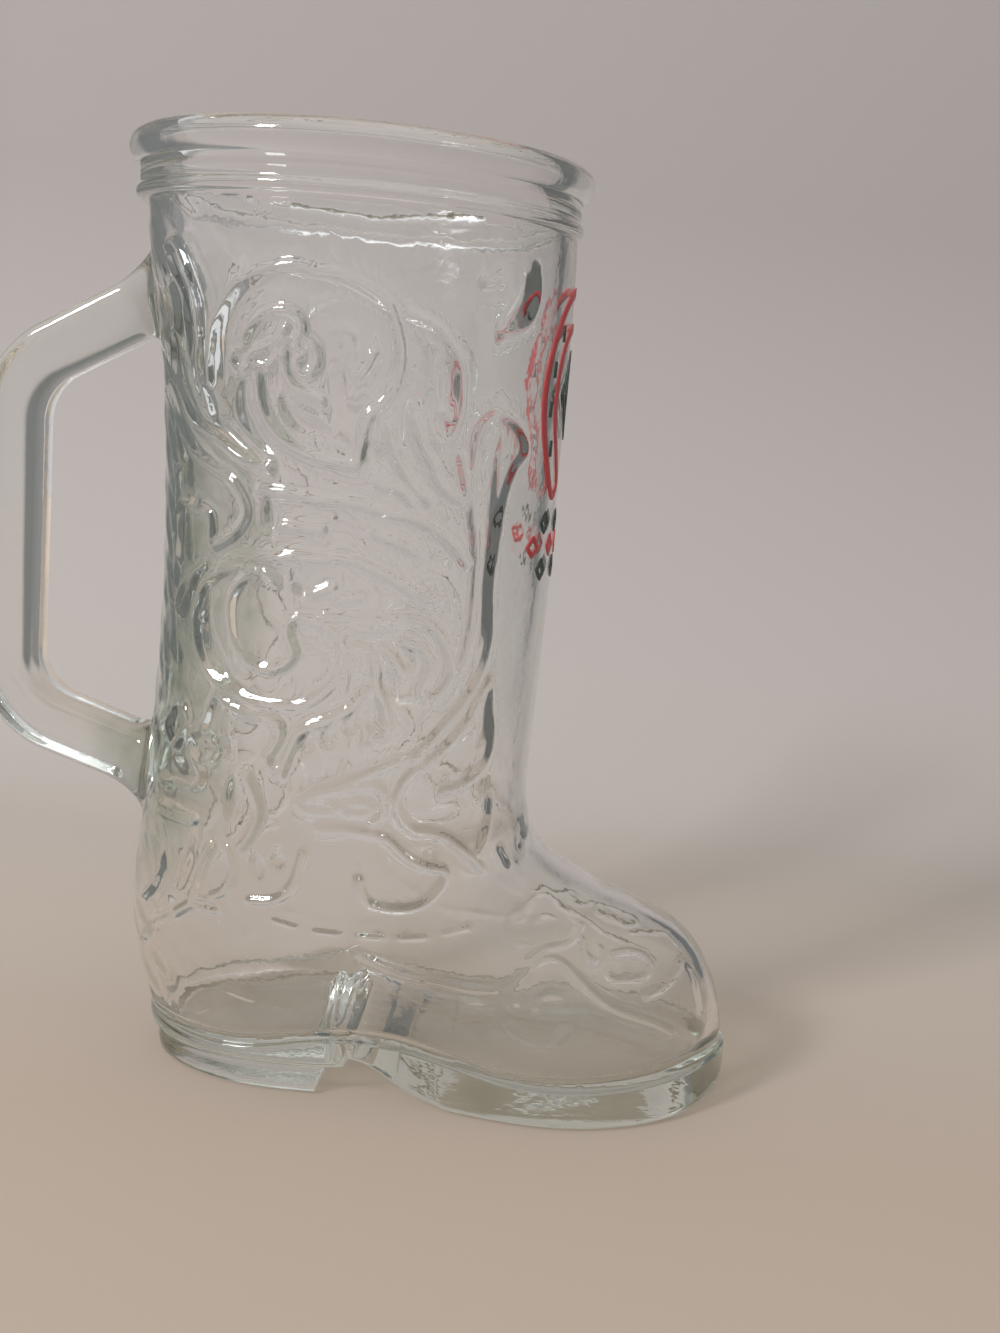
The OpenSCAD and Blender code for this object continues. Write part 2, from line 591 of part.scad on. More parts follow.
// Enamel lines on the front of the leg, placed by shares of the printed field
function front_at(p, lift) =
    let(y = p[0] * print_half, z = print_mid_h + p[1] * print_half_h,
        o = oval(z, skin), u = y / lookup(z, half_curve))
    [o[0] + (o[1] + lift) * sqrt(1 - u * u), y, z];
function field(v) = [v[0] / print_half, v[1] / print_half_h];
module enamel_line(path, wide, closed) {
    n = len(path);
    flat = [for (p = path) [p[0] * print_half, p[1] * print_half_h]];
    side = [for (i = [0 : n - 1])
        let(a = flat[closed ? (i + n - 1) % n : max(i - 1, 0)],
            b = flat[closed ? (i + 1) % n : min(i + 1, n - 1)], t = unit(b - a))
        [-t[1], t[0]] * wide / 2];
    points = [for (i = [0 : n - 1]) each [
        front_at(field(flat[i] - side[i]), seat_gap),
        front_at(field(flat[i] + side[i]), seat_gap),
        front_at(field(flat[i] + side[i]), seat_gap + enamel_t),
        front_at(field(flat[i] - side[i]), seat_gap + enamel_t)]];
    body = [for (i = [0 : closed ? n - 1 : n - 2], k = [0 : 3])
        let(a = 4 * i + k, b = 4 * i + (k + 1) % 4,
            c = 4 * ((i + 1) % n) + (k + 1) % 4, e = 4 * ((i + 1) % n) + k)
        each [[a, e, c], [a, c, b]]];
    ends = closed ? [] : [[0, 1, 2], [0, 2, 3],
        [4 * n - 4, 4 * n - 2, 4 * n - 3], [4 * n - 4, 4 * n - 1, 4 * n - 2]];
    polyhedron(points, concat(body, ends), convexity = 6);
}

// A plain horseshoe in outline, with nail marks, nested lozenges and rows of lozenges
shoe_shares = [[0.5, -0.42], [0.66, -0.28], [0.84, 0.02], [0.88, 0.32], [0.76, 0.62], [0.48, 0.86],
               [0, 0.96], [-0.48, 0.86], [-0.76, 0.62], [-0.88, 0.32], [-0.84, 0.02], [-0.66, -0.28],
               [-0.5, -0.42], [-0.36, -0.34], [-0.46, -0.16], [-0.6, 0.08], [-0.62, 0.32],
               [-0.54, 0.52], [-0.34, 0.66], [0, 0.72], [0.34, 0.66], [0.54, 0.52], [0.62, 0.32],
               [0.6, 0.08], [0.46, -0.16], [0.36, -0.34]];
nail_shares = [[0.66, -0.1], [0.74, 0.16], [0.72, 0.42], [0.56, 0.66],
               [-0.66, -0.1], [-0.74, 0.16], [-0.72, 0.42], [-0.56, 0.66]];
gem_mid_share = 0.26;
gem_r = 7;
gem_shares = [1, 0.62, 0.24];
gem_n = 3;
lozenge_row_shares = [-0.6, -0.76, -0.92];
lozenge_odd_shares = [-0.84, -0.42, 0, 0.42, 0.84];
lozenge_even_shares = [-0.63, -0.21, 0.21, 0.63];
lozenge = 1.5;
nail = 1.3;
// Lozenge about a place in the field, with a few points along each side
function lozenge_at(x, z, r, steps = 1) =
    [for (k = [0 : 3], i = [0 : steps - 1])
        let(a = 90 * k, p = [cos(a), sin(a)], q = [-sin(a), cos(a)])
        field(r * (p + (q - p) * i / steps)) + [x, z]];

module red_enamel() {
    color([0.75, 0.15, 0.15]) {
        enamel_line(shoe_shares, red_line, true);
        for (x = lozenge_odd_shares)
            enamel_line(lozenge_at(x, lozenge_row_shares[1], lozenge), black_line, true);
    }
}

module black_enamel() {
    color([0.12, 0.14, 0.12]) {
        for (s = gem_shares)
            enamel_line(lozenge_at(0, gem_mid_share, gem_r * s, gem_n), black_line, true);
        for (p = nail_shares)
            enamel_line([p - field([0, nail]), p + field([0, nail])], black_line, false);
        for (z = [lozenge_row_shares[0], lozenge_row_shares[2]], x = lozenge_even_shares)
            enamel_line(lozenge_at(x, z, lozenge), black_line, true);
    }
}

lip_bead();
neck_band();
mould_ring();
leg();
foot();
sole();
heel();
handle();
upper_pad();
lower_pad();
leg_scrolls();
foot_scrolls();
red_enamel();
black_enamel();
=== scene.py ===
# %% [markdown]
# # A boot-shaped beer glass
#
# The real thing is pressed and blown in an iron mould: a round mouth with a rolled lip, a leg that
# turns from round to oval, a hollow foot, and a thick sole with a heel. Raised scrolls stand on both
# sides, a glass bar is stuck on as the handle, and two colours of enamel are printed on the front.
#
# The lesson loads the measured model, sets the camera, sweeps the glass as one closed skin of rings,
# raises the scrolls on it, welds the handle to it, wraps the print round it, and lights it.

# %% Load the measured model
import math

import bpy
import numpy as np
from mathutils import Matrix, Vector
from mathutils.kdtree import KDTree


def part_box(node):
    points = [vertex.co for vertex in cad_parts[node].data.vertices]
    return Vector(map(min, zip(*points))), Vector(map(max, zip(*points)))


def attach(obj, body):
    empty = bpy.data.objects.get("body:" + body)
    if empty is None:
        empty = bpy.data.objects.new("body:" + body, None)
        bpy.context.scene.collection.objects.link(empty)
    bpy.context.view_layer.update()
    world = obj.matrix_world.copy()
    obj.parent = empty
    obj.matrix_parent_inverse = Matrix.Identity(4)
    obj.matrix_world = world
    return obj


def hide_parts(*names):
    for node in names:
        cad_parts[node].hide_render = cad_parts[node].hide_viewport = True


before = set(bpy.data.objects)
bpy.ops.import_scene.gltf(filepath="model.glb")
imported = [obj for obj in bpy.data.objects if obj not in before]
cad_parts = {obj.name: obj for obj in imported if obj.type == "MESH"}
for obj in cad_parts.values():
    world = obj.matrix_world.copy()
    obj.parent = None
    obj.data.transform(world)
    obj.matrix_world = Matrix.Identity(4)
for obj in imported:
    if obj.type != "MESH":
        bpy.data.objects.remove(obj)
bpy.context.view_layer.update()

# %% [markdown]
# ## Units
#
# Glass makers think in millimetres and Blender works in metres. Every size below is in millimetres,
# and one factor turns it into metres when a mesh is made. The outer sizes are read from the boxes of
# the measured solids, so the picture and the model can't drift apart.

# %% Read the driving sizes from the frame
MM = 0.001


def box_mm(node):
    low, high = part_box(node)
    return np.array(low) / MM, np.array(high) / MM


lip_low, lip_high = box_mm("lip_bead")
ring_low, ring_high = box_mm("mould_ring")
leg_low, leg_high = box_mm("leg")
foot_low, foot_high = box_mm("foot")
handle_low, handle_high = box_mm("handle")
sole_high = box_mm("sole")[1]

glass_h = lip_high[2]
lip_h = lip_high[2] - lip_low[2]
lip_r = lip_high[0]
neck_r = box_mm("neck_band")[1][0]
ring_r = ring_high[0]
leg_top = leg_high[2]
ankle_h = leg_low[2]
counter_back = -foot_low[0]
toe_front = foot_high[0]
welt_out = sole_high[0] - toe_front
ball_half = sole_high[1] - welt_out
heel_block_h = box_mm("heel")[1][2]
print(f"glass {glass_h:.1f} mm high, mouth {2 * lip_r:.1f} mm wide, toe at {toe_front:.1f} mm")

# %% [markdown]
# ## Camera
#
# The picture is taken a little above the toe side, from close by, so the mouth shows as a flat oval
# and the glass leans in the frame. A camera is three sizes and three angles here, and its axes are
# worked out from them.

# %% Set the camera
CAMERA_REACH = 257.8
CAMERA_HEIGHT = 120.6
CAMERA_SIDE = math.radians(7.32)
CAMERA_HEADING = math.radians(-0.93)
CAMERA_TILT = math.radians(10.5)
CAMERA_ROLL = math.radians(4.82)
LENS = 54
SENSOR = 36

ahead = Vector((math.sin(CAMERA_HEADING) * math.cos(CAMERA_TILT),
                math.cos(CAMERA_HEADING) * math.cos(CAMERA_TILT), -math.sin(CAMERA_TILT)))
level = Vector((math.cos(CAMERA_HEADING), -math.sin(CAMERA_HEADING), 0))
above = level.cross(ahead)
side_axis = level * math.cos(CAMERA_ROLL) + above * math.sin(CAMERA_ROLL)
up_axis = above * math.cos(CAMERA_ROLL) - level * math.sin(CAMERA_ROLL)
place = Vector((CAMERA_REACH * math.sin(CAMERA_SIDE), -CAMERA_REACH * math.cos(CAMERA_SIDE),
                CAMERA_HEIGHT)) * MM

lens = bpy.data.cameras.new("camera")
lens.sensor_fit = "HORIZONTAL"
lens.sensor_width = SENSOR
lens.lens = LENS
lens.clip_start = 0.01
camera = bpy.data.objects.new("camera", lens)
bpy.context.scene.collection.objects.link(camera)
camera.matrix_world = Matrix((side_axis, up_axis, -ahead)).transposed().to_4x4()
camera.location = place
bpy.context.scene.camera = camera
print("camera at", [round(v, 3) for v in place])

# %% [markdown]
# ## The skin of the boot
#
# The outside of the boot is known from three drawings: the front and the back in side view, and the
# half width at each height. Two shapes are blended: the oval of the leg and the longer outline of the
# foot. Any point of the side then has one half width, which is all that a ring needs.
#
# The drawings are short lists of shares, with a smooth curve through them.

# %% Curve helpers


def span(a, b, share):
    return a + (b - a) * share


def ease(u):
    v = np.clip(u, 0, 1)
    return v * v * (3 - 2 * v)


def smooth(points, steps=12, closed=False):
    """Smooth curve through given points."""
    p = np.array(points, float)
    n = len(p)
    out = []
    for i in range(n if closed else n - 1):
        if closed:
            a, b, c, d = p[i - 1], p[i], p[(i + 1) % n], p[(i + 2) % n]
        else:
            a, b, c, d = p[max(i - 1, 0)], p[i], p[i + 1], p[min(i + 2, n - 1)]
        for u in np.arange(steps) / steps:
            out.append((2 * b + (c - a) * u + (2 * a - 5 * b + 4 * c - d) * u ** 2
                        + (3 * b - a - 3 * c + d) * u ** 3) / 2)
    if not closed:
        out.append(p[-1])
    return np.array(out)


print("three points become", len(smooth([(0, 0), (1, 1), (2, 0)])), "on a smooth curve")

# %% Sizes and side view of the boot
leg_top_back = neck_r - 1.5
leg_slim_back = neck_r - 6.2
leg_top_half = neck_r - 0.7
leg_mid_half = neck_r - 4.1
ankle_back = neck_r - 4.3
ankle_half = neck_r - 8.0
WELT_BACK = 28.9
WELT_H = 8.4
WELT_ARCH_H = 11.0
WELT_BALL_H = 7.4
WELT_TOE_H = 9.2
HEEL_HALF = 20.2
WAIST_HALF = 17.8
BALL_X = 43.0
ARCH_X = 9.0
FOOT_START = 12.0
LEG_WALL = 2.8
FOOT_WALL = 3.0

VAMP_SHARES = [(1, 0), (0.995, 0.04), (0.98, 0.14), (0.95, 0.26), (0.905, 0.36), (0.86, 0.44),
               (0.8, 0.51), (0.73, 0.565), (0.65, 0.605), (0.56, 0.64), (0.46, 0.68), (0.36, 0.71),
               (0.265, 0.755), (0.18, 0.8), (0.12, 0.835), (0.07, 0.875), (0.03, 0.93), (0, 1)]
SHIN_SHARES = [(0.975, 0.06), (0.985, 0.2), (1, 0.4), (1, 0.7), (1, 0.92), (0.99, 1)]
COUNTER_LOW_SHARES = [(0, 0), (0.23, 0.1), (0.52, 0.2), (0.79, 0.33), (0.94, 0.42), (1, 0.54)]
COUNTER_HIGH_SHARES = [(0.7, 0.7), (0.3, 0.88), (0, 1)]
CALF_LOW_SHARES = [(0.55, 0.13), (0.18, 0.24), (0, 0.35), (0, 0.46)]
CALF_HIGH_SHARES = [(0.09, 0.59), (0.24, 0.71), (0.55, 0.82), (0.91, 0.94), (1, 1)]

front_curve = smooth(
    [(span(neck_r, toe_front, a), span(WELT_H, ankle_h, b)) for a, b in VAMP_SHARES]
    + [(neck_r * a, span(ankle_h, leg_top, b)) for a, b in SHIN_SHARES])
# Shares, nearest and farthest back, lowest and highest
BACK_PARTS = [(COUNTER_LOW_SHARES, WELT_BACK, counter_back, WELT_H, ankle_h),
              (COUNTER_HIGH_SHARES, ankle_back, counter_back, WELT_H, ankle_h),
              (CALF_LOW_SHARES, leg_slim_back, ankle_back, ankle_h, leg_top),
              (CALF_HIGH_SHARES, leg_slim_back, leg_top_back, ankle_h, leg_top)]
back_curve = smooth([(-span(near, far, a), span(low, high, b))
                     for shares, near, far, low, high in BACK_PARTS for a, b in shares])
half_curve = smooth([(WELT_H, HEEL_HALF), (ankle_h, ankle_half),
                     ((ankle_h + leg_top) / 2, leg_mid_half), (leg_top, leg_top_half)])
welt_curve = smooth([(-counter_back, WELT_H), (-counter_back * 0.33, WELT_H), (ARCH_X, WELT_ARCH_H),
                     (span(ARCH_X, BALL_X, 0.8), WELT_BALL_H),
                     (span(BALL_X, toe_front, 0.4), WELT_BALL_H), (toe_front, WELT_TOE_H)])
print(len(front_curve), "points down the front,", len(back_curve), "down the back")

# %% Half width of the boot at any place of its side view
INSTEP_FADE = 14.0
SHIN_LEAN = 0.31
TOP_SLOPE = 2.2
LEAST_TALL = 0.12
DOME_POWER = 2.3
TOE_POWER = 1.8
TOE_BLUNT = 0.55
UNION_POWER = 7


def sorted_by(curve, axis):
    return curve[np.argsort(curve[:, axis], kind="stable")]


def moved_in(curve, inset):
    """The curve moved sideways by a wall's thickness."""
    along = np.gradient(curve, axis=0)
    along /= np.linalg.norm(along, axis=1)[:, None]
    return curve + inset * np.stack([-along[:, 1], along[:, 0]], 1)


class Skin:
    """Front, back and instep of the boot, a given inset inside its outer surface."""

    def __init__(self, inset):
        self.inset = inset
        self.front = sorted_by(moved_in(front_curve, inset), 1)
        self.back = sorted_by(moved_in(back_curve, -inset), 1)
        self.instep = sorted_by(self.front[self.front[:, 1] <= ankle_h], 0)
        self.shin = float(self.front_at(ankle_h))

    def front_at(self, z):
        return np.interp(z, self.front[:, 1], self.front[:, 0])

    def back_at(self, z):
        return np.interp(z, self.back[:, 1], self.back[:, 0])

    def leg_front_at(self, z):
        """Front of the leg's own oval, which leans back inside the foot."""
        return np.where(z < ankle_h, self.shin - (ankle_h - z) * SHIN_LEAN, self.front_at(z))


def foot_half(x):
    waist = WAIST_HALF * ease((x + FOOT_START) / (ARCH_X + FOOT_START))
    ball = span(WAIST_HALF, ball_half, ease((x - ARCH_X) / (BALL_X - ARCH_X)))
    toe_share = np.clip((x - BALL_X) / (toe_front - BALL_X), 0, 1)
    toe = ball_half * np.maximum(0, 1 - toe_share ** TOE_POWER) ** TOE_BLUNT
    return np.where(x <= ARCH_X, waist, np.where(x <= BALL_X, ball, toe))


def half_at(x, z, skin):
    """Half width: the leg's oval and the foot's outline, joined with a soft edge."""
    back, front = skin.back_at(z), skin.leg_front_at(z)
    place_share = (x - (front + back) / 2) / ((front - back) / 2)
    leg = np.interp(z, half_curve[:, 0], half_curve[:, 1]) - skin.inset
    leg = leg * np.sqrt(np.maximum(0, 1 - place_share ** 2))
    top = np.where(x > skin.shin, np.interp(x, skin.instep[:, 0], skin.instep[:, 1]),
                   ankle_h + (skin.shin - x) * TOP_SLOPE)
    rise = np.clip((z - WELT_H) / np.maximum(top - WELT_H, LEAST_TALL), 0, 1)
    foot = np.maximum(0, foot_half(x + skin.inset) - skin.inset)
    foot = foot * (1 - ease((z - ankle_h) / INSTEP_FADE))
    foot = foot * np.sqrt(np.maximum(0, 1 - rise ** DOME_POWER))
    most = np.maximum(leg, foot)
    safe = np.where(most > 0, most, 1)
    both = ((leg / safe) ** UNION_POWER + (foot / safe) ** UNION_POWER) ** (1 / UNION_POWER)
    return np.where(most > 0, safe * both, 0)


def welt_z(x):
    return np.interp(x, welt_curve[:, 0], welt_curve[:, 1])


outer_skin = Skin(0.0)
leg_lining = Skin(LEG_WALL)
foot_lining = Skin(FOOT_WALL)
print("half width at mid leg:", round(float(half_at(0.0, 95.0, outer_skin)), 2), "mm")

# %% [markdown]
# ## Rings of the glass
#
# One closed skin is the right model for clear glass: light bends at every surface that it crosses, so
# a hidden wall between two pieces would show as a bright line. The rings start under the heel, climb
# the outside, roll over the lip, go down the inside and end at the floor of the foot. Each ring has
# the same number of points, so neighbours join with quads, and two strips close the ends.
#
# Where the leg's oval meets the foot, a ring would have a sharp dent. Its widths are averaged with
# those of its neighbours, inside and outside alike, so that the wall keeps its thickness.

# %% Rings of the leg and the foot
COLUMNS = 448
PLAN_SOFT = 10
FOOT_ROWS = 96
LEG_ROWS = 156

turn = 2 * math.pi * np.arange(COLUMNS) / COLUMNS
turn_cos, turn_sin = np.cos(turn), np.sin(turn)


def side_ring(z, skin, inset=0.0):
    """One ring at a height: back, near side, front, far side."""
    back, front = skin.back_at(z), skin.front_at(z)
    mid, reach = (front + back) / 2, (front - back) / 2
    half = half_at(mid - reach * turn_cos, z, skin)
    x = mid - (reach - inset) * turn_cos
    y = -np.sign(turn_sin) * np.maximum(0, half - inset * np.abs(turn_sin))
    sink = 0.0
    if z < ankle_h:
        soft = np.mean([np.roll(y, k) for k in range(-PLAN_SOFT, PLAN_SOFT + 1)], axis=0)
        y = span(y, soft, ease((ankle_h - z) / INSTEP_FADE))
        sink = ((ankle_h - z) / (ankle_h - WELT_H)) ** 2
    return np.stack([x, y, z + (welt_z(x) - WELT_H) * sink], 1)


def round_ring(radius, z):
    return np.stack([-radius * turn_cos, -radius * turn_sin, np.full(COLUMNS, z)], 1)


def even_levels(count):
    """Heights up the foot, closer together where the instep lies flat."""
    part = sorted_by(front_curve[front_curve[:, 1] <= ankle_h], 1)
    step = np.linalg.norm(np.diff(part, axis=0), axis=1) + np.diff(part[:, 1])
    way = np.concatenate([[0], np.cumsum(step)])
    return np.interp(np.linspace(0, way[-1], count), way, part[:, 1])


levels = np.concatenate([even_levels(FOOT_ROWS), np.linspace(ankle_h, leg_top, LEG_ROWS + 1)[1:]])
skin_rings = [side_ring(z, outer_skin) for z in levels]
print(len(skin_rings), "rings on the outside of the leg and foot")

# %% [markdown]
# ## Sole and heel
#
# Under the welt line the glass is thick: a sole that stands out a little, a hollow under the arch,
# and a heel block that is smaller all round. These are rings too, moved in or out of the foot's
# outline seen from above. Every edge is rounded by a few close rings, as molten glass rounds itself.

# %% Rings under the welt line
HEEL_BLOCK_IN = 2.2
BREAST_FRONT = 3.4
BREAST_LEAN = 2.0
ARCH_GAP_H = 7.2
TOE_LIFT = 1.6
EDGE_ROUND = 1.6
FLAT_IN = 3.5
HEEL_SHARE = 0.1
OVERHANG_FADE = 24.0
# Moved out, share of the way from the heel's underside to the sole's
BLOCK_STEPS = [(-0.1 * EDGE_ROUND, 0.1), (0, 0.3), (0, 0.6), (0.1, 0.9), (0.5, 1)]
# Moved in and up, as shares of the edge's roundness
SOLE_EDGE_STEPS = [(1, 0.01875), (0.7, 0.08), (0.4, 0.2), (0.1, 0.6), (0, 1)]
# Share of the welt's overhang, drop under the welt line
WELT_STEPS = [(1, 0.6), (0.75, 0.2), (0.3, 0.1)]

outline = side_ring(WELT_H, outer_skin)[:, :2]
along_outline = np.roll(outline, -1, 0) - np.roll(outline, 1, 0)
along_outline /= np.linalg.norm(along_outline, axis=1)[:, None]
outward = np.stack([along_outline[:, 1], -along_outline[:, 0]], 1)

arch_back = BREAST_FRONT + BREAST_LEAN
sole_low_curve = smooth(
    [(-counter_back, heel_block_h), (arch_back, heel_block_h),
     (span(arch_back, ARCH_X, 0.5), span(heel_block_h, ARCH_GAP_H, 0.8))]
    + [(span(ARCH_X, BALL_X, a), ARCH_GAP_H * b)
       for a, b in [(0, 1), (0.07, 0.92), (0.16, 0.7), (0.3, 0.3), (0.45, 0.08), (0.6, 0)]]
    + [(span(BALL_X, toe_front, a), TOE_LIFT * b) for a, b in [(0.6, 0), (0.8, 0.33), (1.05, 1.1)]])


def sole_under(x):
    return np.maximum(0, np.interp(x, sole_low_curve[:, 0], sole_low_curve[:, 1]))


def heel_under(x):
    """Underside with the heel block: flat on the table up to the breast."""
    return sole_under(x) * np.clip((x - BREAST_FRONT) / BREAST_LEAN, 0, 1)


def heel_corner(x):
    return heel_under(x) + 0.1 * EDGE_ROUND * (x < arch_back)


def plan_ring(out, height):
    """Outline seen from above, moved out; the back of the heel hardly stands out."""
    overhang = span(HEEL_SHARE, 1, ease((outline[:, :1] + counter_back) / OVERHANG_FADE))
    xy = outline + outward * np.where(out > 0, out * overhang, out)
    return np.column_stack([xy, height(xy[:, 0])])


block_out = welt_out - HEEL_BLOCK_IN
under_rings = [plan_ring(block_out - FLAT_IN, heel_under), plan_ring(block_out - EDGE_ROUND, heel_under),
               plan_ring(block_out - 0.4 * EDGE_ROUND, heel_corner)]
for out, share in BLOCK_STEPS:
    under_rings.append(plan_ring(block_out + out, lambda x: span(heel_under(x), sole_under(x), share)))
for back_in, up in SOLE_EDGE_STEPS:
    under_rings.append(plan_ring(welt_out - back_in * EDGE_ROUND,
                                 lambda x: sole_under(x) + up * EDGE_ROUND))
under_rings.append(plan_ring(welt_out, lambda x: span(sole_under(x), welt_z(x), 0.5)))
for share, drop in WELT_STEPS:
    under_rings.append(plan_ring(share * welt_out, lambda x: welt_z(x) - drop))
print(len(under_rings), "rings under the welt")

# %% [markdown]
# ## Lip, neck and lining
#
# The lip is a round bead that the glass maker leaves on the mouth, the neck is plain, and a low ring
# marks where the neck mould met the leg mould. Inside, the round bore eases into the wall of the leg.
# The floor of the foot lies a little under the welt line and meets the wall in a tight round corner.

# %% Rings over the lip and down the inside
RING_SUNK = 0.2
BEAD_ROWS = 26
NECK_ROWS = 10
LINING_ROWS = 20
FLOOR_DROP = 1.0
CORNER_W = 4.5
CORNER_H = 3.0

bead_r = lip_h / 2
bead_mid_r = lip_r - bead_r
bead_mid_h = glass_h - bead_r
bore_r = lip_r - lip_h
ring_mid_h = (ring_low[2] + ring_high[2]) / 2
ring_half_h = (ring_high[2] - ring_low[2]) / 2
ring_foot_r = neck_r - RING_SUNK
top_rings = []
for a in np.radians(np.arange(-80, 81, 20)):
    top_rings.append(round_ring(ring_foot_r + (ring_r - neck_r + RING_SUNK) * math.cos(a),
                                ring_mid_h + ring_half_h * math.sin(a)))
for share in (0.15, 0.5, 0.85):
    top_rings.append(round_ring(neck_r, span(ring_high[2], lip_low[2], share)))
under_lip = math.acos((neck_r - bead_mid_r) / bead_r)
for a in np.linspace(-under_lip, math.pi, BEAD_ROWS):
    top_rings.append(round_ring(bead_mid_r + bead_r * math.cos(a), bead_mid_h + bead_r * math.sin(a)))
bore_ring = round_ring(bore_r, leg_top)
first_lining_ring = side_ring(leg_top, leg_lining)
for share in np.linspace(0, 0.9, NECK_ROWS):
    ring = span(bore_ring, first_lining_ring, ease(share))
    top_rings.append(ring + [0, 0, (lip_low[2] - leg_top) * (1 - share)])

floor_z = WELT_H - FLOOR_DROP
lining_rings = [side_ring(z, leg_lining) for z in np.linspace(leg_top, ankle_h, LINING_ROWS)]
lining_rings += [side_ring(z, foot_lining)
                 for z in np.linspace(ankle_h, floor_z + CORNER_H, LINING_ROWS)[1:]]
for a in np.radians(np.arange(10, 91, 10)):
    lining_rings.append(side_ring(floor_z + CORNER_H * (1 - math.sin(a)), foot_lining,
                                  CORNER_W * (1 - math.cos(a))))
print(len(top_rings), "rings over the lip,", len(lining_rings), "down the inside")

# %% [markdown]
# ## Raised scrollwork
#
# The mould is cut with scrolls, straps, feathers and stitches. Each is a line drawn on the side view
# in millimetres, out along X and up along Z. Ridges stand up, low seams fold round the waist, toe
# lines curl over the side of the toe, and loops are closed. Hollows are cut in between them. The same
# lines are on both sides, so one drawing is used twice, by measuring from the near side and from its
# mirror.

# %% Lines of the upper leg
RIDGES = [
    # Wave and hook along the back
    [(-27, 137.5), (-25, 138), (-23.5, 136), (-22, 133), (-20.5, 129.5), (-20, 126), (-20, 121.5),
     (-19.5, 118), (-18, 114.5), (-17.5, 113)],
    [(-26.5, 136), (-25, 133.5), (-23, 130.5), (-22.5, 127.5), (-21.5, 122), (-20.5, 118),
     (-19, 114.5), (-17.5, 113)],
    [(-25.5, 131.5), (-24.5, 128.5), (-24.5, 125.5)],
    [(-27, 116), (-25, 113), (-23, 109.5), (-20, 106.5), (-17, 105), (-14, 103.5), (-12, 101.5),
     (-11, 99), (-12, 96.5), (-14, 94.5), (-16.5, 93)],
    [(-25.5, 124.5), (-25, 119), (-23, 115), (-21, 112), (-18.5, 110.5), (-15.5, 109), (-13, 107.5),
     (-10, 106.5), (-7.5, 106)],
    [(-23.5, 90), (-23.5, 98), (-20.5, 98.5), (-17.5, 98), (-17, 96), (-17, 93.5)],
    # Great ring and what it holds
    [(-18, 118), (-18, 122), (-17.5, 126), (-16, 129), (-14.5, 131.5), (-13, 133), (-10, 134.5),
     (-5, 135.5), (-2, 135), (2, 134.5), (6.5, 132.5), (9, 130.5), (10.5, 126.5), (11, 123.5),
     (10.5, 120), (9, 117), (7, 115), (6, 111.5), (5.5, 107.5)],
    [(-10, 119.5), (-9.5, 116), (-8.5, 113.5), (-6.5, 111), (-3.5, 109), (0, 108), (4.5, 107.5)],
    [(-12.5, 124.5), (-11.5, 126.5), (-9, 128.5), (-6, 129), (-4, 128), (-3.5, 126), (-5, 125)],
    [(-4.5, 124), (-3, 125), (-1.5, 124), (-1, 122), (-2, 120.5), (-3.5, 120.5), (-4, 122), (-3, 123)],
    [(-5.5, 125), (-6, 122), (-5, 119), (-3, 117.5), (0, 116.5)],
    [(-11.5, 122), (-9, 123.5), (-7, 124.5), (-6, 126.5)],
    [(-12, 120), (-10, 121), (-8, 121), (-6.5, 123)],
    [(7, 124), (6, 122), (5, 120.5)],
    # Right swirl and the lines that flow from it
    [(11.5, 130), (15.5, 128.5), (18, 126), (19.5, 123.5), (20, 120), (20, 116), (19, 112.5),
     (17.5, 111.5), (16.5, 112.5)],
    [(10, 113.5), (10.5, 111), (12, 108), (14, 105), (16.5, 103)],
    [(13.5, 115), (15, 111), (16.5, 108.5), (17.5, 106), (19.5, 104), (21.5, 103)],
    [(20.5, 110), (21, 108), (21.5, 106), (22, 103.5)],
    [(29.5, 139), (30, 135.5), (29.5, 132), (28, 129.5), (25, 128)],
    [(22, 135.5), (24.5, 136)],
    # Pull strap in front
    [(23, 100), (22.5, 106), (22.5, 111), (23, 114), (24.5, 116), (26, 116.5), (28, 115.5),
     (29.5, 113.5), (30, 111), (28.5, 108), (27.5, 104), (27, 98), (26.5, 90), (27, 82), (26, 76),
     (23.5, 71), (19.5, 65.5), (16.5, 62)],
    [(23, 100), (23.5, 98), (24, 92), (24, 86), (23.5, 80), (22.5, 76.5)],
]
print(len(RIDGES), "ridges on the upper leg")

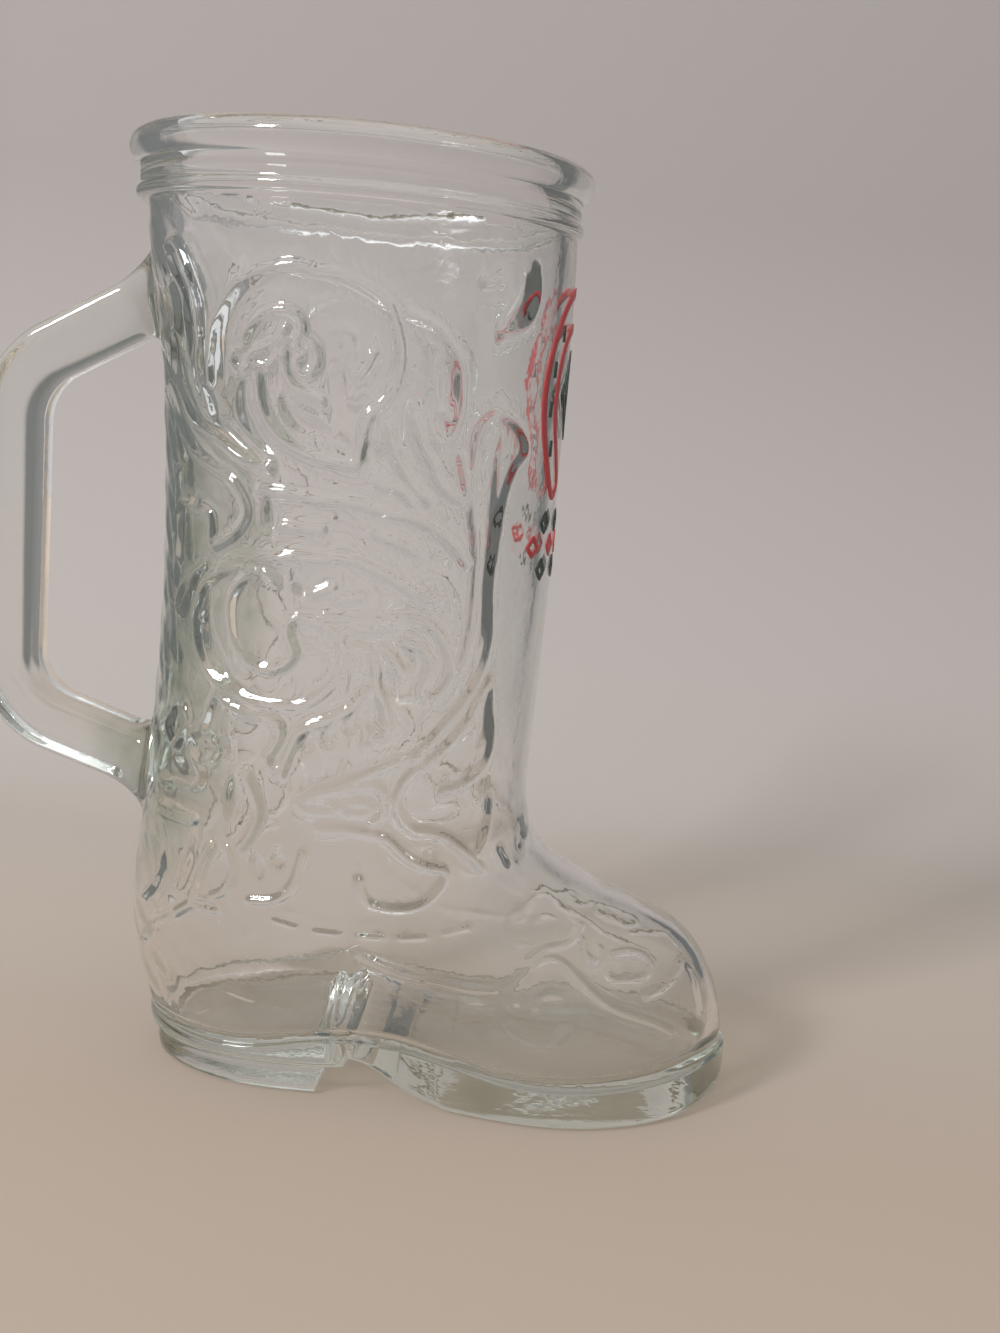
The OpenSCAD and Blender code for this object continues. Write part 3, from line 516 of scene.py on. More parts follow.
# %% Lines of the middle of the leg
RIDGES += [
    # Straps across the leg
    [(-9, 102.5), (-5, 102.5), (0, 102), (5, 102), (10, 101), (15, 100), (18.5, 98), (21, 95.5),
     (22.5, 93.5)],
    [(9, 105), (12, 104.5), (14, 102.5)],
    [(-5.5, 97.5), (-2, 97.5), (1, 97.5)],
    [(-15, 90), (-13, 91.5), (-10, 92), (-6.5, 92.5), (-3, 93), (0, 93), (5, 93.5), (10.5, 91.5),
     (15, 89), (19, 87.5)],
    [(9, 97.5), (12, 96.5), (15.5, 95)],
    # Great scroll shaped like a C, and its inner lines
    [(-10, 90.5), (-13, 90), (-16, 88.5), (-18, 86.5), (-19, 83.5), (-19.5, 81), (-19, 77.5),
     (-17.5, 74), (-15, 71.5), (-12, 70.5), (-8, 69.5), (-4, 69.5), (-1, 70), (1.5, 71.5), (4, 74),
     (5, 77), (5, 79.5), (4, 81.5), (2, 83), (-0.5, 83.5), (-2.5, 83.5), (-3.5, 82.5), (-3.5, 81)],
    [(-6, 89), (-8, 90), (-10.5, 89), (-12, 87.5), (-13, 85), (-13, 82), (-12.5, 79.5), (-11, 77),
     (-9, 75.5), (-6.5, 75), (-4, 76), (-2.5, 78), (-3, 79.5), (-3.5, 80.5)],
    [(0, 87.5), (3, 89)],
    [(4, 87), (7.5, 88)],
    [(-18, 89.5), (-21, 87), (-22.5, 84.5), (-23, 81.5), (-22, 82), (-20.5, 86), (-19, 88.5)],
    # Curl under the scroll, and the edge that runs down from it
    [(-15, 70), (-13, 68.5), (-10.5, 67.5), (-7, 67.5), (-4.5, 66.5), (-4, 65), (-5, 62.5), (-6, 61),
     (-5.5, 59.5), (-3.5, 58.5)],
    [(-15, 70), (-16, 67.5), (-17, 64.5), (-19, 62.5), (-19.5, 60.5), (-18.5, 58), (-17, 55.5),
     (-18.5, 53.5), (-23, 53), (-25, 52.5)],
    # Feathers
    [(-3.5, 59), (-2.5, 62), (-1, 65.5), (1, 67), (4, 68.5), (6.5, 70), (8.5, 72.5), (10, 73.5)],
    [(10, 78), (10.5, 74), (12, 70), (12.5, 67), (11.5, 65.5)],
    [(2, 84.5), (7, 84.5), (11, 84.5), (14.5, 85), (17.5, 84), (19.5, 82), (20.5, 80), (21.5, 77),
     (21, 74.5), (19.5, 72.5), (18, 72), (17, 73.5), (18, 76), (18, 78.5), (16.5, 80.5), (14, 81)],
    [(5, 82), (7, 83), (10, 83), (13, 83.5)],
    [(5.5, 73), (6, 78.5), (7, 80), (9, 79.5), (10, 77.5)],
    [(11, 80), (13, 78), (14, 76)],
]
print(len(RIDGES), "ridges down to the middle of the leg")

# %% Lines of the ankle, the foot and the toe
RIDGES += [
    # Edge of the tongue, and its inside
    [(27.5, 75), (26, 72), (24.5, 68), (22, 64.5), (19, 61.5), (16.5, 59.5), (15, 57), (14.5, 54.5),
     (15.5, 52), (17.5, 50), (20, 49.5), (22.5, 48.5), (25, 46.5), (27, 44.5), (28.5, 42.5)],
    [(27.5, 75), (28, 70), (28.5, 65), (28, 61), (26, 58.5), (24, 57), (21.5, 56.5)],
    # Strap with its buckle holes
    [(1.5, 55.5), (5.5, 56.5), (9, 57.5), (11.5, 57.5), (12.5, 55.5), (12.5, 53), (11, 51.5)],
    [(3, 50), (7, 50), (11, 49.5), (13.5, 48.5), (16, 46), (19, 44), (22.5, 43)],
    [(2, 56), (7, 58), (11, 60), (14, 61.5), (17.5, 62.5)],
    [(9.5, 41.5), (10, 39.5), (11.5, 37), (15.5, 36), (19, 36.5), (21.5, 38.5), (23, 41.5), (22.5, 43)],
    [(28, 45.5), (29, 49.5), (29, 54)],
    [(31.5, 45.5), (33, 43)],
    # Spur at the back of the ankle
    [(-25.5, 48.5), (-21, 48.5), (-18, 48)],
    [(-25.5, 47), (-18.5, 47)],
    [(-18, 45.5), (-19.5, 40), (-21, 35.5)],
    [(-15, 44.5), (-17, 39.5), (-18.5, 33)],
    [(-12, 44.5), (-11, 40.5), (-12.5, 37), (-14.5, 35.5)],
    [(-8, 36), (-3.5, 37), (-1, 40), (0.5, 45.5)],
    [(-18.5, 33), (-22.5, 29.5), (-26, 26.5), (-28.5, 23)],
    [(-9, 57), (-7, 52), (-8.5, 47), (-10, 45)],
    [(-21, 66), (-20, 63.5), (-22.5, 59.5), (-24, 62), (-23, 65)],
    [(-25.5, 45), (-24, 40), (-25.5, 35), (-28, 31)],
]
SEAMS = [
    [(9.5, 28), (8.5, 25), (8, 21.5), (7.5, 18), (7, 14.5)],
    [(9.5, 28), (11, 27), (14.5, 25), (19, 23.5), (23, 23), (28, 22.5), (33, 23), (35, 24)],
]
TOE_LINES = [
    [(63.1, 16), (60.4, 17.8), (57.1, 19.2), (53.7, 20.5), (50.2, 22.4), (46.7, 25.1), (43.8, 27.5),
     (41.3, 28.3), (39, 27.3), (37, 25.5), (35.3, 23.1), (34.6, 20.3), (35.1, 17.6), (37.3, 15.7),
     (40.3, 15), (43.4, 15.3), (45.1, 17.3)],
    [(38, 25.6), (37, 23.7), (36.6, 21.2)],
    [(39.8, 20.8), (40.2, 22.2), (41.5, 22.9), (43.4, 23)],
    [(37.6, 27.8), (40.5, 29.6), (43.6, 30.2), (45.4, 31.1), (46.4, 32.6)],
    [(46.6, 30.8), (47.1, 29.1), (48.3, 27.9), (49.6, 28.1), (49.8, 29.4)],
    [(58.3, 22.3), (61.4, 23.4), (63.7, 25.3), (64.9, 25.9), (67, 23), (68.5, 18)],
]
LOOPS = [
    [(-13, 122.5), (-11.5, 121.5), (-13, 120), (-14.5, 121.5)],
    [(7, 79), (8, 78), (7, 76.5), (6.5, 78)],
    [(0, 53), (0, 54.5), (4.5, 54.5), (4.5, 53)],
    [(6.5, 53), (6.5, 54.5), (10.5, 54.5), (10.5, 53)],
    [(-17.5, 34.5), (-13.5, 34.5), (-13.5, 33), (-17.5, 33)],
    [(-19.5, 60.5), (-17, 63), (-14.5, 60.5), (-17, 58)],
    [(51.7, 28.4), (54.2, 28.8), (57.4, 27.9), (58.7, 26.3), (57.3, 25), (52.2, 25.1), (51.2, 26.6)],
]
print(len(RIDGES), "ridges and", len(LOOPS), "loops")

# %% Hollows and stitches
HOLLOWS = [
    [(-8.5, 132.5), (-11.5, 131.5), (-14, 129.5), (-15.5, 127), (-16, 123.5), (-16, 120),
     (-15.5, 117.5)],
    [(-11.5, 119.5), (-12.5, 117), (-12, 114), (-10.5, 111.5), (-8.5, 109.5), (-5.5, 108)],
    [(-6.5, 117), (-4.5, 114), (-1.5, 112.5), (2, 111.5)],
    [(16.5, 125), (17.5, 122.5), (18, 120), (18, 117.5), (18.5, 115.5)],
    [(16.5, 116), (17.5, 114.5), (18, 113)],
    [(28, 138.5), (28.5, 135.5), (27.5, 132.5), (25, 129.5)],
    [(26, 114), (25.5, 108), (25.5, 98), (25.5, 90), (25.5, 83), (24.5, 77)],
    [(-18.5, 112), (-15, 111), (-11.5, 108.5), (-8, 106.5)],
    [(-7.5, 101.5), (-7, 98.5), (-7, 96)],
    [(-17, 87), (-17.5, 82.5), (-17, 79), (-15.5, 76), (-13, 73), (-9.5, 72)],
    [(-1.5, 89), (-2, 87)],
    [(0.5, 65.5), (0, 62.5)],
    [(4, 67), (3, 63.5)],
    [(7.5, 69.5), (6.5, 65.5)],
    [(10.5, 72), (10, 66)],
    [(7.5, 111.5), (8, 107)],
    [(11.5, 76.5), (12, 74.5), (13, 72.5)],
    [(13.5, 80.5), (15.5, 77)],
    [(27.5, 73), (27.5, 68), (26.5, 63)],
    [(-14.5, 62.5), (-14, 59)],
    [(-13, 63), (-12.5, 59.5)],
    [(-11.5, 57), (-11.5, 52), (-12, 48.5)],
    [(-7.5, 44.5), (-7, 42), (-6.5, 39.5)],
    [(-4, 45), (-3.5, 42)],
    [(-17, 43), (-18.5, 38), (-20, 34)],
    [(-21, 31), (-25, 27.5), (-28, 24)],
]
STITCH_FIRST_X = -4.0
STITCH_PITCH = 6.9
STITCH_LENGTH = 3.6
STITCH_COUNT = 5
stitch_line = smooth([(-6, 33.5), (0, 32), (8, 31), (16, 30.5), (22, 31), (30, 33.5)])
stitches = []
for n in range(STITCH_COUNT):
    xs = STITCH_FIRST_X + n * STITCH_PITCH + np.array([0, STITCH_LENGTH])
    stitches.append(list(zip(xs, np.interp(xs, stitch_line[:, 0], stitch_line[:, 1]))))
stitches += [[(-11.5, 18.5), (-7, 17.5)], [(-3.5, 17), (-0.5, 16.5)], [(-17, 13), (-15, 14.5)]]
print(len(HOLLOWS), "hollows and", len(stitches), "stitches")

# %% [markdown]
# ## From lines to relief
#
# Each line is laid on the boot's side and cut into close points. A search tree then finds, for every
# point of the skin, how far the nearest line is, and a rounded step turns that distance into height.
# The distance is measured in space and not in the drawing, so a line keeps its width where the leg
# curves away. Each kind of line has its own half width, height and shoulder; hollows taper at both
# ends.
#
# Blown glass is never quite even either. Slow waves are added everywhere, short ones where the glass
# is thick at the back, and long ones on the lining, which bend what is seen through the leg.

# %% Height of the relief
SAMPLE_STEP = 0.25
TAPER_POWER = 0.7
# Paths, half width, height, shoulder, closed
LINE_KINDS = [(RIDGES, 1.15, 0.85, 1.05, False), (LOOPS, 0.9, 0.62, 0.85, True),
              (stitches, 0.75, 0.4, 0.65, False), (SEAMS, 1.2, 0.22, 1.2, False),
              (TOE_LINES, 0.95, 0.6, 0.9, False)]
HOLLOW_KIND = (HOLLOWS, 1.8, 0.8, 1.5, False, 0.85)


def line_points(path, closed):
    """Close points along one line, laid on the near side, with their share of its length."""
    flat = smooth(path, 24, closed)
    if closed:
        flat = np.vstack([flat, flat[:1]])
    way = np.concatenate([[0], np.cumsum(np.linalg.norm(np.diff(flat, axis=0), axis=1))])
    at = np.linspace(0, way[-1], max(3, int(way[-1] / SAMPLE_STEP)))
    x, z = np.interp(at, way, flat[:, 0]), np.interp(at, way, flat[:, 1])
    return np.stack([x, half_at(x, z, outer_skin), z], 1), at / way[-1]


def relief(points, paths, half_width, height, shoulder, closed, taper=0.0):
    """Height added at each point by a set of lines."""
    laid = [line_points(path, closed) for path in paths]
    places = np.vstack([p for p, _ in laid])
    shares = np.concatenate([s for _, s in laid])
    widths = half_width * (1 - taper + taper * np.sin(np.pi * shares) ** TAPER_POWER)
    tree = KDTree(len(places))
    for i, p in enumerate(places):
        tree.insert(p, i)
    tree.balance()
    found = [tree.find(p) for p in points]
    near = np.array([f[2] for f in found])
    wide = widths[[f[1] for f in found]]
    return height * ease((wide - near) / shoulder)


def raised(points):
    """Relief of all lines together, alike on both sides."""
    mirrored = points * np.array([1, 0, 1]) + np.abs(points) * np.array([0, 1, 0])
    highest = np.max([relief(mirrored, *kind) for kind in LINE_KINDS], axis=0)
    return highest - relief(mirrored, *HOLLOW_KIND)


def waves(points, size, height):
    """Slow unevenness that the mould and the cooling leave."""
    x, y, z = (points / size).T
    return height * (np.sin(1.7 * x + 0.6 * z + 0.4) * np.cos(1.3 * y - 0.8 * z)
                     + 0.5 * np.sin(2.9 * z + 1.1 * x - 0.7 * y)) / 1.5


print(len(LINE_KINDS), "kinds of raised lines, and hollows", HOLLOW_KIND[2], "mm deep")

# %% Stack the rings and raise the relief
BACK_EDGE_X = -12.0
BACK_FADE = 12.0
WELT_GAP = 1.0
WELT_FADE = 3.0
TOP_GAP = 0.5
TOP_FADE = 2.0
LINING_TOP_GAP = 6.0
LINING_TOP_FADE = 20.0
LINING_ANKLE_FADE = 12.0
SKIN_WAVES = {"size": 9.0, "height": 0.06}
BACK_WAVES = {"size": 2.6, "height": 0.16}
LINING_WAVES = {"size": 16.0, "height": 0.14}

grid = np.stack(under_rings + skin_rings + top_rings + lining_rings)
first_skin = len(under_rings)
last_skin = first_skin + len(skin_rings)
first_lining = last_skin + len(top_rings)

across = np.roll(grid, -1, 1) - np.roll(grid, 1, 1)
climb = np.gradient(grid, axis=0)
normals = np.cross(across, climb)
normals /= np.maximum(np.linalg.norm(normals, axis=2), 1e-9)[:, :, None]

skin_points = grid[first_skin:last_skin].reshape(-1, 3)
skin_x, _, skin_z = skin_points.T
heights = raised(skin_points) + waves(skin_points, **SKIN_WAVES)
heights += waves(skin_points, **BACK_WAVES) * ease((BACK_EDGE_X - skin_x) / BACK_FADE)
edge_fade = ease((skin_z - WELT_H - WELT_GAP) / WELT_FADE)
edge_fade = edge_fade * ease((leg_top - TOP_GAP - skin_z) / TOP_FADE)
heights = (heights * edge_fade).reshape(-1, COLUMNS, 1)
grid[first_skin:last_skin] += normals[first_skin:last_skin] * heights

lining = grid[first_lining:]
lining_z = lining[:, :, 2:3]
lining_waves = waves(lining.reshape(-1, 3), **LINING_WAVES).reshape(-1, COLUMNS, 1)
lining_fade = ease((leg_top - LINING_TOP_GAP - lining_z) / LINING_TOP_FADE)
lining_fade = lining_fade * ease((lining_z - ankle_h) / LINING_ANKLE_FADE)
lining += normals[first_lining:] * lining_waves * lining_fade
print("relief from", round(float(heights.min()), 2), "to", round(float(heights.max()), 2), "mm")

# %% [markdown]
# ## Making the meshes
#
# A grid of rings becomes quads, and a strip across closes each end. The handle is a second closed
# skin: a soft rectangle swept along its bent line, which flares where it was pressed on hot. A boolean
# union welds the two, and a Decimate modifier then spends the triangles where the relief is.

# %% Mesh helpers


def ring_mesh(rings, strip_caps):
    """Closed mesh of a stack of rings; its ends are strips across or fans to a middle point."""
    rows, columns, _ = rings.shape
    points = rings.reshape(-1, 3)
    row, column = np.meshgrid(np.arange(rows - 1), np.arange(columns), indexing="ij")
    a = (row * columns + column).ravel()
    b = (row * columns + (column + 1) % columns).ravel()
    faces = np.stack([a, b, b + columns, a + columns], 1).tolist()
    last = (rows - 1) * columns
    if strip_caps:
        for start, down in ((0, True), (last, False)):
            for k in range(columns // 2):
                loop = [start + k, start + (columns - k) % columns, start + columns - k - 1,
                        start + k + 1]
                loop = [v for i, v in enumerate(loop) if v not in loop[:i]]
                faces.append(loop if down else loop[::-1])
    else:
        middles = np.stack([rings[0].mean(0), rings[-1].mean(0)])
        points = np.vstack([points, middles])
        for k in range(columns):
            m = (k + 1) % columns
            faces.append([rows * columns, m, k])
            faces.append([rows * columns + 1, last + k, last + m])
    return points, faces


def new_piece(name, points, faces):
    mesh = bpy.data.meshes.new(name)
    mesh.from_pydata((np.asarray(points) * MM).tolist(), [], faces)
    mesh.validate()
    piece = bpy.data.objects.new(name, mesh)
    bpy.context.scene.collection.objects.link(piece)
    return piece


def finished(piece, name):
    """Plain mesh of a piece with its modifiers applied; the first piece is removed."""
    bpy.context.view_layer.update()
    ready = piece.evaluated_get(bpy.context.evaluated_depsgraph_get())
    mesh = bpy.data.meshes.new_from_object(ready)
    done = bpy.data.objects.new(name, mesh)
    bpy.context.scene.collection.objects.link(done)
    bpy.data.objects.remove(piece)
    mesh.shade_smooth()
    return done


print("the boot's skin has", len(ring_mesh(grid, strip_caps=True)[1]), "faces")

# %% Line of the handle
BAR_T = 9.6
UPPER_SLOPE = math.radians(30)
LOWER_SLOPE = math.radians(18)
UPPER_H = leg_top - 15
LOWER_H = ankle_h + 4.5
UPPER_BEND = 14.0
LOWER_BEND = 13.0
PAD_REACH = 6.0

bar_w = handle_high[1] - handle_low[1]
grip_x = -handle_low[0] - BAR_T / 2
upper_dir = np.array([math.cos(UPPER_SLOPE), 0, math.sin(UPPER_SLOPE)])
lower_dir = np.array([math.cos(LOWER_SLOPE), 0, -math.sin(LOWER_SLOPE)])


def back_x(y, z):
    """Where the back of the leg is, at a place beside the middle."""
    back, front = outer_skin.back_at(z), outer_skin.leg_front_at(z)
    half = np.interp(z, half_curve[:, 0], half_curve[:, 1])
    return (front + back) / 2 - (front - back) / 2 * np.sqrt(1 - (y / half) ** 2)


upper_foot = np.array([float(back_x(0, UPPER_H)), 0, UPPER_H])
lower_foot = np.array([float(back_x(0, LOWER_H)), 0, LOWER_H])
upper_corner = upper_foot - upper_dir * (grip_x + upper_foot[0]) / upper_dir[0]
lower_corner = lower_foot - lower_dir * (grip_x + lower_foot[0]) / lower_dir[0]
upper_cut = upper_foot - PAD_REACH * upper_dir
lower_cut = lower_foot - PAD_REACH * lower_dir
print("handle corners at", np.round(upper_corner[2], 1), "and", np.round(lower_corner[2], 1), "mm")

# %% Sweep the handle
BAR_POINTS = 64
BAR_ROUND_POWER = 5.4
PAD_W = 18.0
UPPER_PAD_H = 20.0
LOWER_PAD_H = 18.5
PAD_DROP = 1.0
PAD_SINK = 1.3
PAD_ROWS = 14
FLARE = 2.4
BEND_ROWS = 22


def rounded(wave):
    """Pulls a circle's cosine or sine out towards a square with soft corners."""
    return np.sign(wave) * np.abs(wave) ** (2 / BAR_ROUND_POWER)


bar_turn = 2 * math.pi * (np.arange(BAR_POINTS) + 0.5) / BAR_POINTS
bar_u, bar_v = rounded(np.cos(bar_turn)), rounded(np.sin(bar_turn))


def bar_ring(centre, way):
    side = np.array([way[2], 0, -way[0]])
    return centre + np.outer(bar_u * BAR_T / 2, side) + np.outer(bar_v * bar_w / 2, [0, 1, 0])


def pad_rings(foot_point, cut, way, mid_h, tall):
    """Rings from a patch sunk in the leg's wall out to the bar's own section."""
    sign = 1 if -way[0] > 0 else -1
    spread = np.hypot(np.cos(bar_turn), np.sin(bar_turn))
    z = mid_h + sign * np.cos(bar_turn) / spread * tall / 2
    y = np.sin(bar_turn) / spread * PAD_W / 2
    patch = np.stack([back_x(y, z), y, z], 1)
    rings = [patch + [PAD_SINK, 0, 0], patch + [PAD_SINK / 2, 0, 0]]
    for t in np.linspace(1, 0, PAD_ROWS):
        e = t ** FLARE
        rings.append(bar_ring(cut + (foot_point - cut) * t, way) * (1 - e) + patch * e)
    return rings


def bend_rings(mid, radius, start, end):
    return [bar_ring(mid + radius * np.array([math.cos(a), 0, math.sin(a)]),
                     np.array([-math.sin(a), 0, math.cos(a)]))
            for a in np.linspace(start, end, BEND_ROWS)]


upper_tan = UPPER_BEND * math.tan((math.pi / 2 - UPPER_SLOPE) / 2)
lower_tan = LOWER_BEND * math.tan((math.pi / 2 - LOWER_SLOPE) / 2)
upper_bend_mid = np.array([UPPER_BEND - grip_x, 0, upper_corner[2] - upper_tan])
lower_bend_mid = np.array([LOWER_BEND - grip_x, 0, lower_corner[2] + lower_tan])
handle_rings = pad_rings(upper_foot, upper_cut, -upper_dir, UPPER_H - PAD_DROP, UPPER_PAD_H)
handle_rings += bend_rings(upper_bend_mid, UPPER_BEND, math.pi / 2 + UPPER_SLOPE, math.pi)
handle_rings += bend_rings(lower_bend_mid, LOWER_BEND, math.pi, 3 * math.pi / 2 - LOWER_SLOPE)
handle_rings += pad_rings(lower_foot, lower_cut, lower_dir, LOWER_H, LOWER_PAD_H)[::-1]
print(len(handle_rings), "rings in the handle")

# %% Weld the handle to the boot
GLASS_TRIANGLES = 188000


def count_triangles(piece):
    return sum(len(p.vertices) - 2 for p in piece.data.polygons)


bar = new_piece("bar", *ring_mesh(np.stack(handle_rings), strip_caps=False))
boot = new_piece("boot", *ring_mesh(grid, strip_caps=True))
weld = boot.modifiers.new("weld the handle", "BOOLEAN")
weld.operation = "UNION"
weld.solver = "MANIFOLD"
weld.object = bar
welded = finished(boot, "welded")
bpy.data.objects.remove(bar)
dense = count_triangles(welded)
thin = welded.modifiers.new("spend triangles on the relief", "DECIMATE")
thin.ratio = min(1.0, GLASS_TRIANGLES / dense)
glass = finished(welded, "boot_glass")
print("welded glass:", dense, "triangles, kept", count_triangles(glass))

# %% [markdown]
# ## Shader helpers
#
# Every material here is made of nodes that read Object coordinates, so a pattern stays on the piece.
# A few short functions add a node and connect it in one statement, so that a material reads like a
# recipe. One group, made once, gives slow unevenness: it puts out a mask and a height, and each
# material uses it with its own size and limits.

# %% Node helpers and the shared group


def put(tree, socket, value):
    """Link a node or an output to a socket, or set the socket to a plain value."""
    if isinstance(value, bpy.types.Node):
        value = next(output for output in value.outputs if output.enabled)
    if isinstance(value, bpy.types.NodeSocket):
        tree.links.new(value, socket)
    else:
        socket.default_value = value


def feed(tree, node, *ordered, **named):
    """Ordered values go to the inputs in order, named ones to the input or setting of that name."""
    for name, value in named.items():
        socket = name.replace("_", " ")
        if socket in node.inputs:
            put(tree, node.inputs[socket], value)
        else:
            setattr(node, name, value)
    for socket, value in zip(node.inputs, ordered):
        put(tree, socket, value)
    return node


def add(tree, kind, *ordered, **named):
    return feed(tree, tree.nodes.new(kind), *ordered, **named)


def smooth_step(tree, value, low, high):
    """Smooth rise from 0 at low to 1 at high."""
    return add(tree, "ShaderNodeMapRange", interpolation_type="SMOOTHSTEP", Value=value,
               From_Min=low, From_Max=high)


def blend(tree, share, first, second):
    """Colour between two others."""
    return add(tree, "ShaderNodeMix", data_type="RGBA", Factor=share, A=first, B=second)


def make_unevenness():
    group = bpy.data.node_groups.new("unevenness", "ShaderNodeTree")
    face = group.interface
    face.new_socket("Vector", in_out="INPUT", socket_type="NodeSocketVector")
    for name in ("Size", "Least", "Most"):
        face.new_socket(name, in_out="INPUT", socket_type="NodeSocketFloat")
    for name in ("Mask", "Height"):
        face.new_socket(name, in_out="OUTPUT", socket_type="NodeSocketFloat")
    given = add(group, "NodeGroupInput").outputs
    scaled = add(group, "ShaderNodeVectorMath", given["Vector"], given["Size"], operation="DIVIDE")
    noise = add(group, "ShaderNodeTexNoise", Vector=scaled, Scale=1.0, Detail=3.0, Roughness=0.5)
    mask = add(group, "ShaderNodeMapRange", Value=noise, To_Min=given["Least"], To_Max=given["Most"])
    add(group, "NodeGroupOutput", Mask=mask, Height=noise)
    return group


unevenness = make_unevenness()


def new_material(name):
    """Material with one Principled shader, and the Object coordinates that its nodes read."""
    material = bpy.data.materials.new(name)
    material.use_nodes = True
    tree = material.node_tree
    coords = add(tree, "ShaderNodeTexCoord").outputs["Object"]
    return material, tree, tree.nodes["Principled BSDF"], coords


def uneven(tree, coords, size, least, most):
    return add(tree, "ShaderNodeGroup", node_tree=unevenness, Vector=coords, Size=size, Least=least,
               Most=most)


print("shader group:", unevenness.name)

# %% [markdown]
# ## Glass
#
# Soda-lime glass bends light with an index near 1.5, and iron in the sand tints it green-grey where
# the light goes a long way through it: the sole, the edges of the wall and the handle. So that tint is
# absorption in the volume. A patch at the back of the leg, where the glass looks darker, is painted
# shade: an egg-shaped mask, broken up by slow clouds, greys the glass colour there.
#
# A renderer can't follow every bend of light, so the glass lets some rays go straight on. Shadow rays
# and diffuse rays pass with a tint that gets darker where the wall stands edge-on, which draws a soft
# shadow with a dark rim. So do rays that have been thrown about inside the wall three times: they
# would otherwise end black.

# %% Glass material
GLASS_IOR = 1.5
CLEAR_GLASS = (1.0, 1.0, 1.0, 1.0)
# Painted shade: a grey-green glass colour, and the egg-shaped patch at the back of the leg where it is
# mixed in
PAINTED_SHADE_GLASS = (0.64, 0.69, 0.63, 1.0)
PAINTED_SHADE_MID = (-29.0, 0.0, 82.0)
PAINTED_SHADE_REACH = (15.5, 60.0, 62.0)
PAINTED_SHADE_CORE = 0.6
TINT = (0.79, 0.83, 0.77, 1.0)
TINT_DENSITY = 27.0
SHADOW_CLEAR = (0.99, 0.99, 0.98, 1.0)
SHADOW_EDGE = (0.36, 0.37, 0.35, 1.0)
SHADOW_BLEND = 0.22
REFLECTIONS = 2.5

glass_material, tree, shader, coords = new_material("soda_lime_glass")
# Painted shade: the egg-shaped mask, broken up by clouds, mixes the grey-green into the glass colour
from_mid = add(tree, "ShaderNodeVectorMath", coords, Vector(PAINTED_SHADE_MID) * MM, operation="SUBTRACT")
in_reach = add(tree, "ShaderNodeVectorMath", from_mid, Vector(PAINTED_SHADE_REACH) * MM, operation="DIVIDE")
far = add(tree, "ShaderNodeVectorMath", in_reach, operation="LENGTH")
shade_egg = smooth_step(tree, far, 1.0, PAINTED_SHADE_CORE)
clouds = uneven(tree, coords, size=0.0045, least=-0.1, most=1.7)
painted_shade_patches = add(tree, "ShaderNodeMath", shade_egg, clouds, operation="MULTIPLY", use_clamp=True)
smears = uneven(tree, coords, size=0.018, least=0.0, most=0.06)
ripple = uneven(tree, coords, size=0.006, least=0.0, most=1.0)
bump = add(tree, "ShaderNodeBump", Strength=0.25, Distance=0.0003, Height=ripple.outputs["Height"])
feed(tree, shader, Base_Color=blend(tree, painted_shade_patches, CLEAR_GLASS, PAINTED_SHADE_GLASS), Roughness=smears,
     Normal=bump, Transmission_Weight=1.0, IOR=GLASS_IOR)

rays = add(tree, "ShaderNodeLightPath").outputs
straight = add(tree, "ShaderNodeMath", rays["Is Shadow Ray"], rays["Is Diffuse Ray"],
               operation="MAXIMUM")
worn_out = add(tree, "ShaderNodeMath", rays["Glossy Depth"], REFLECTIONS, operation="GREATER_THAN")
let_through = add(tree, "ShaderNodeMath", straight, worn_out, operation="MAXIMUM")
slant = add(tree, "ShaderNodeLayerWeight", Blend=SHADOW_BLEND).outputs["Facing"]
unbent = add(tree, "ShaderNodeBsdfTransparent", blend(tree, slant, SHADOW_CLEAR, SHADOW_EDGE))
either = add(tree, "ShaderNodeMixShader", let_through, shader, unbent)
tint = add(tree, "ShaderNodeVolumeAbsorption", Color=TINT, Density=TINT_DENSITY)
feed(tree, tree.nodes["Material Output"], Surface=either, Volume=tint)
glass.data.materials.clear()
glass.data.materials.append(glass_material)
print("glass material with", len(tree.nodes), "nodes")

# %% [markdown]
# ## Print on the front
#
# Two enamels are fired on the front of the leg. The printed picture of the real glass isn't copied:
# a plain horseshoe with nail marks, nested lozenges and rows of lozenges take its place, in the same
# colours and about the same size.
#
# Lines are made flat, as thin strips. Geometry Nodes repeat the lozenges in rows, then cast every
# point back onto the glass, so that the print follows the real surface.

# %% Flat strips for the printed lines
PRINT_HALF = 17.0
PRINT_MID_H = leg_top - 31.5
PRINT_HALF_H = 24.0
RED_LINE = 1.4
BLACK_LINE = 0.8
ENAMEL_T = 0.2
ENAMEL_LIFT = 0.05
GEM_MID = 0.26 * PRINT_HALF_H
GEM_R = 7.0
GEM_SHARES = (1, 0.62, 0.24)
LOZENGE_R = 1.5
NAIL = 1.3
SIDE_STEP = 0.5
SHOE_SHARES = [(0.5, -0.42), (0.66, -0.28), (0.84, 0.02), (0.88, 0.32), (0.76, 0.62), (0.48, 0.86),
               (0, 0.96), (-0.48, 0.86), (-0.76, 0.62), (-0.88, 0.32), (-0.84, 0.02), (-0.66, -0.28),
               (-0.5, -0.42), (-0.36, -0.34), (-0.46, -0.16), (-0.6, 0.08), (-0.62, 0.32),
               (-0.54, 0.52), (-0.34, 0.66), (0, 0.72), (0.34, 0.66), (0.54, 0.52), (0.62, 0.32),
               (0.6, 0.08), (0.46, -0.16), (0.36, -0.34)]
NAIL_SHARES = [(0.66, -0.1), (0.74, 0.16), (0.72, 0.42), (0.56, 0.66)]


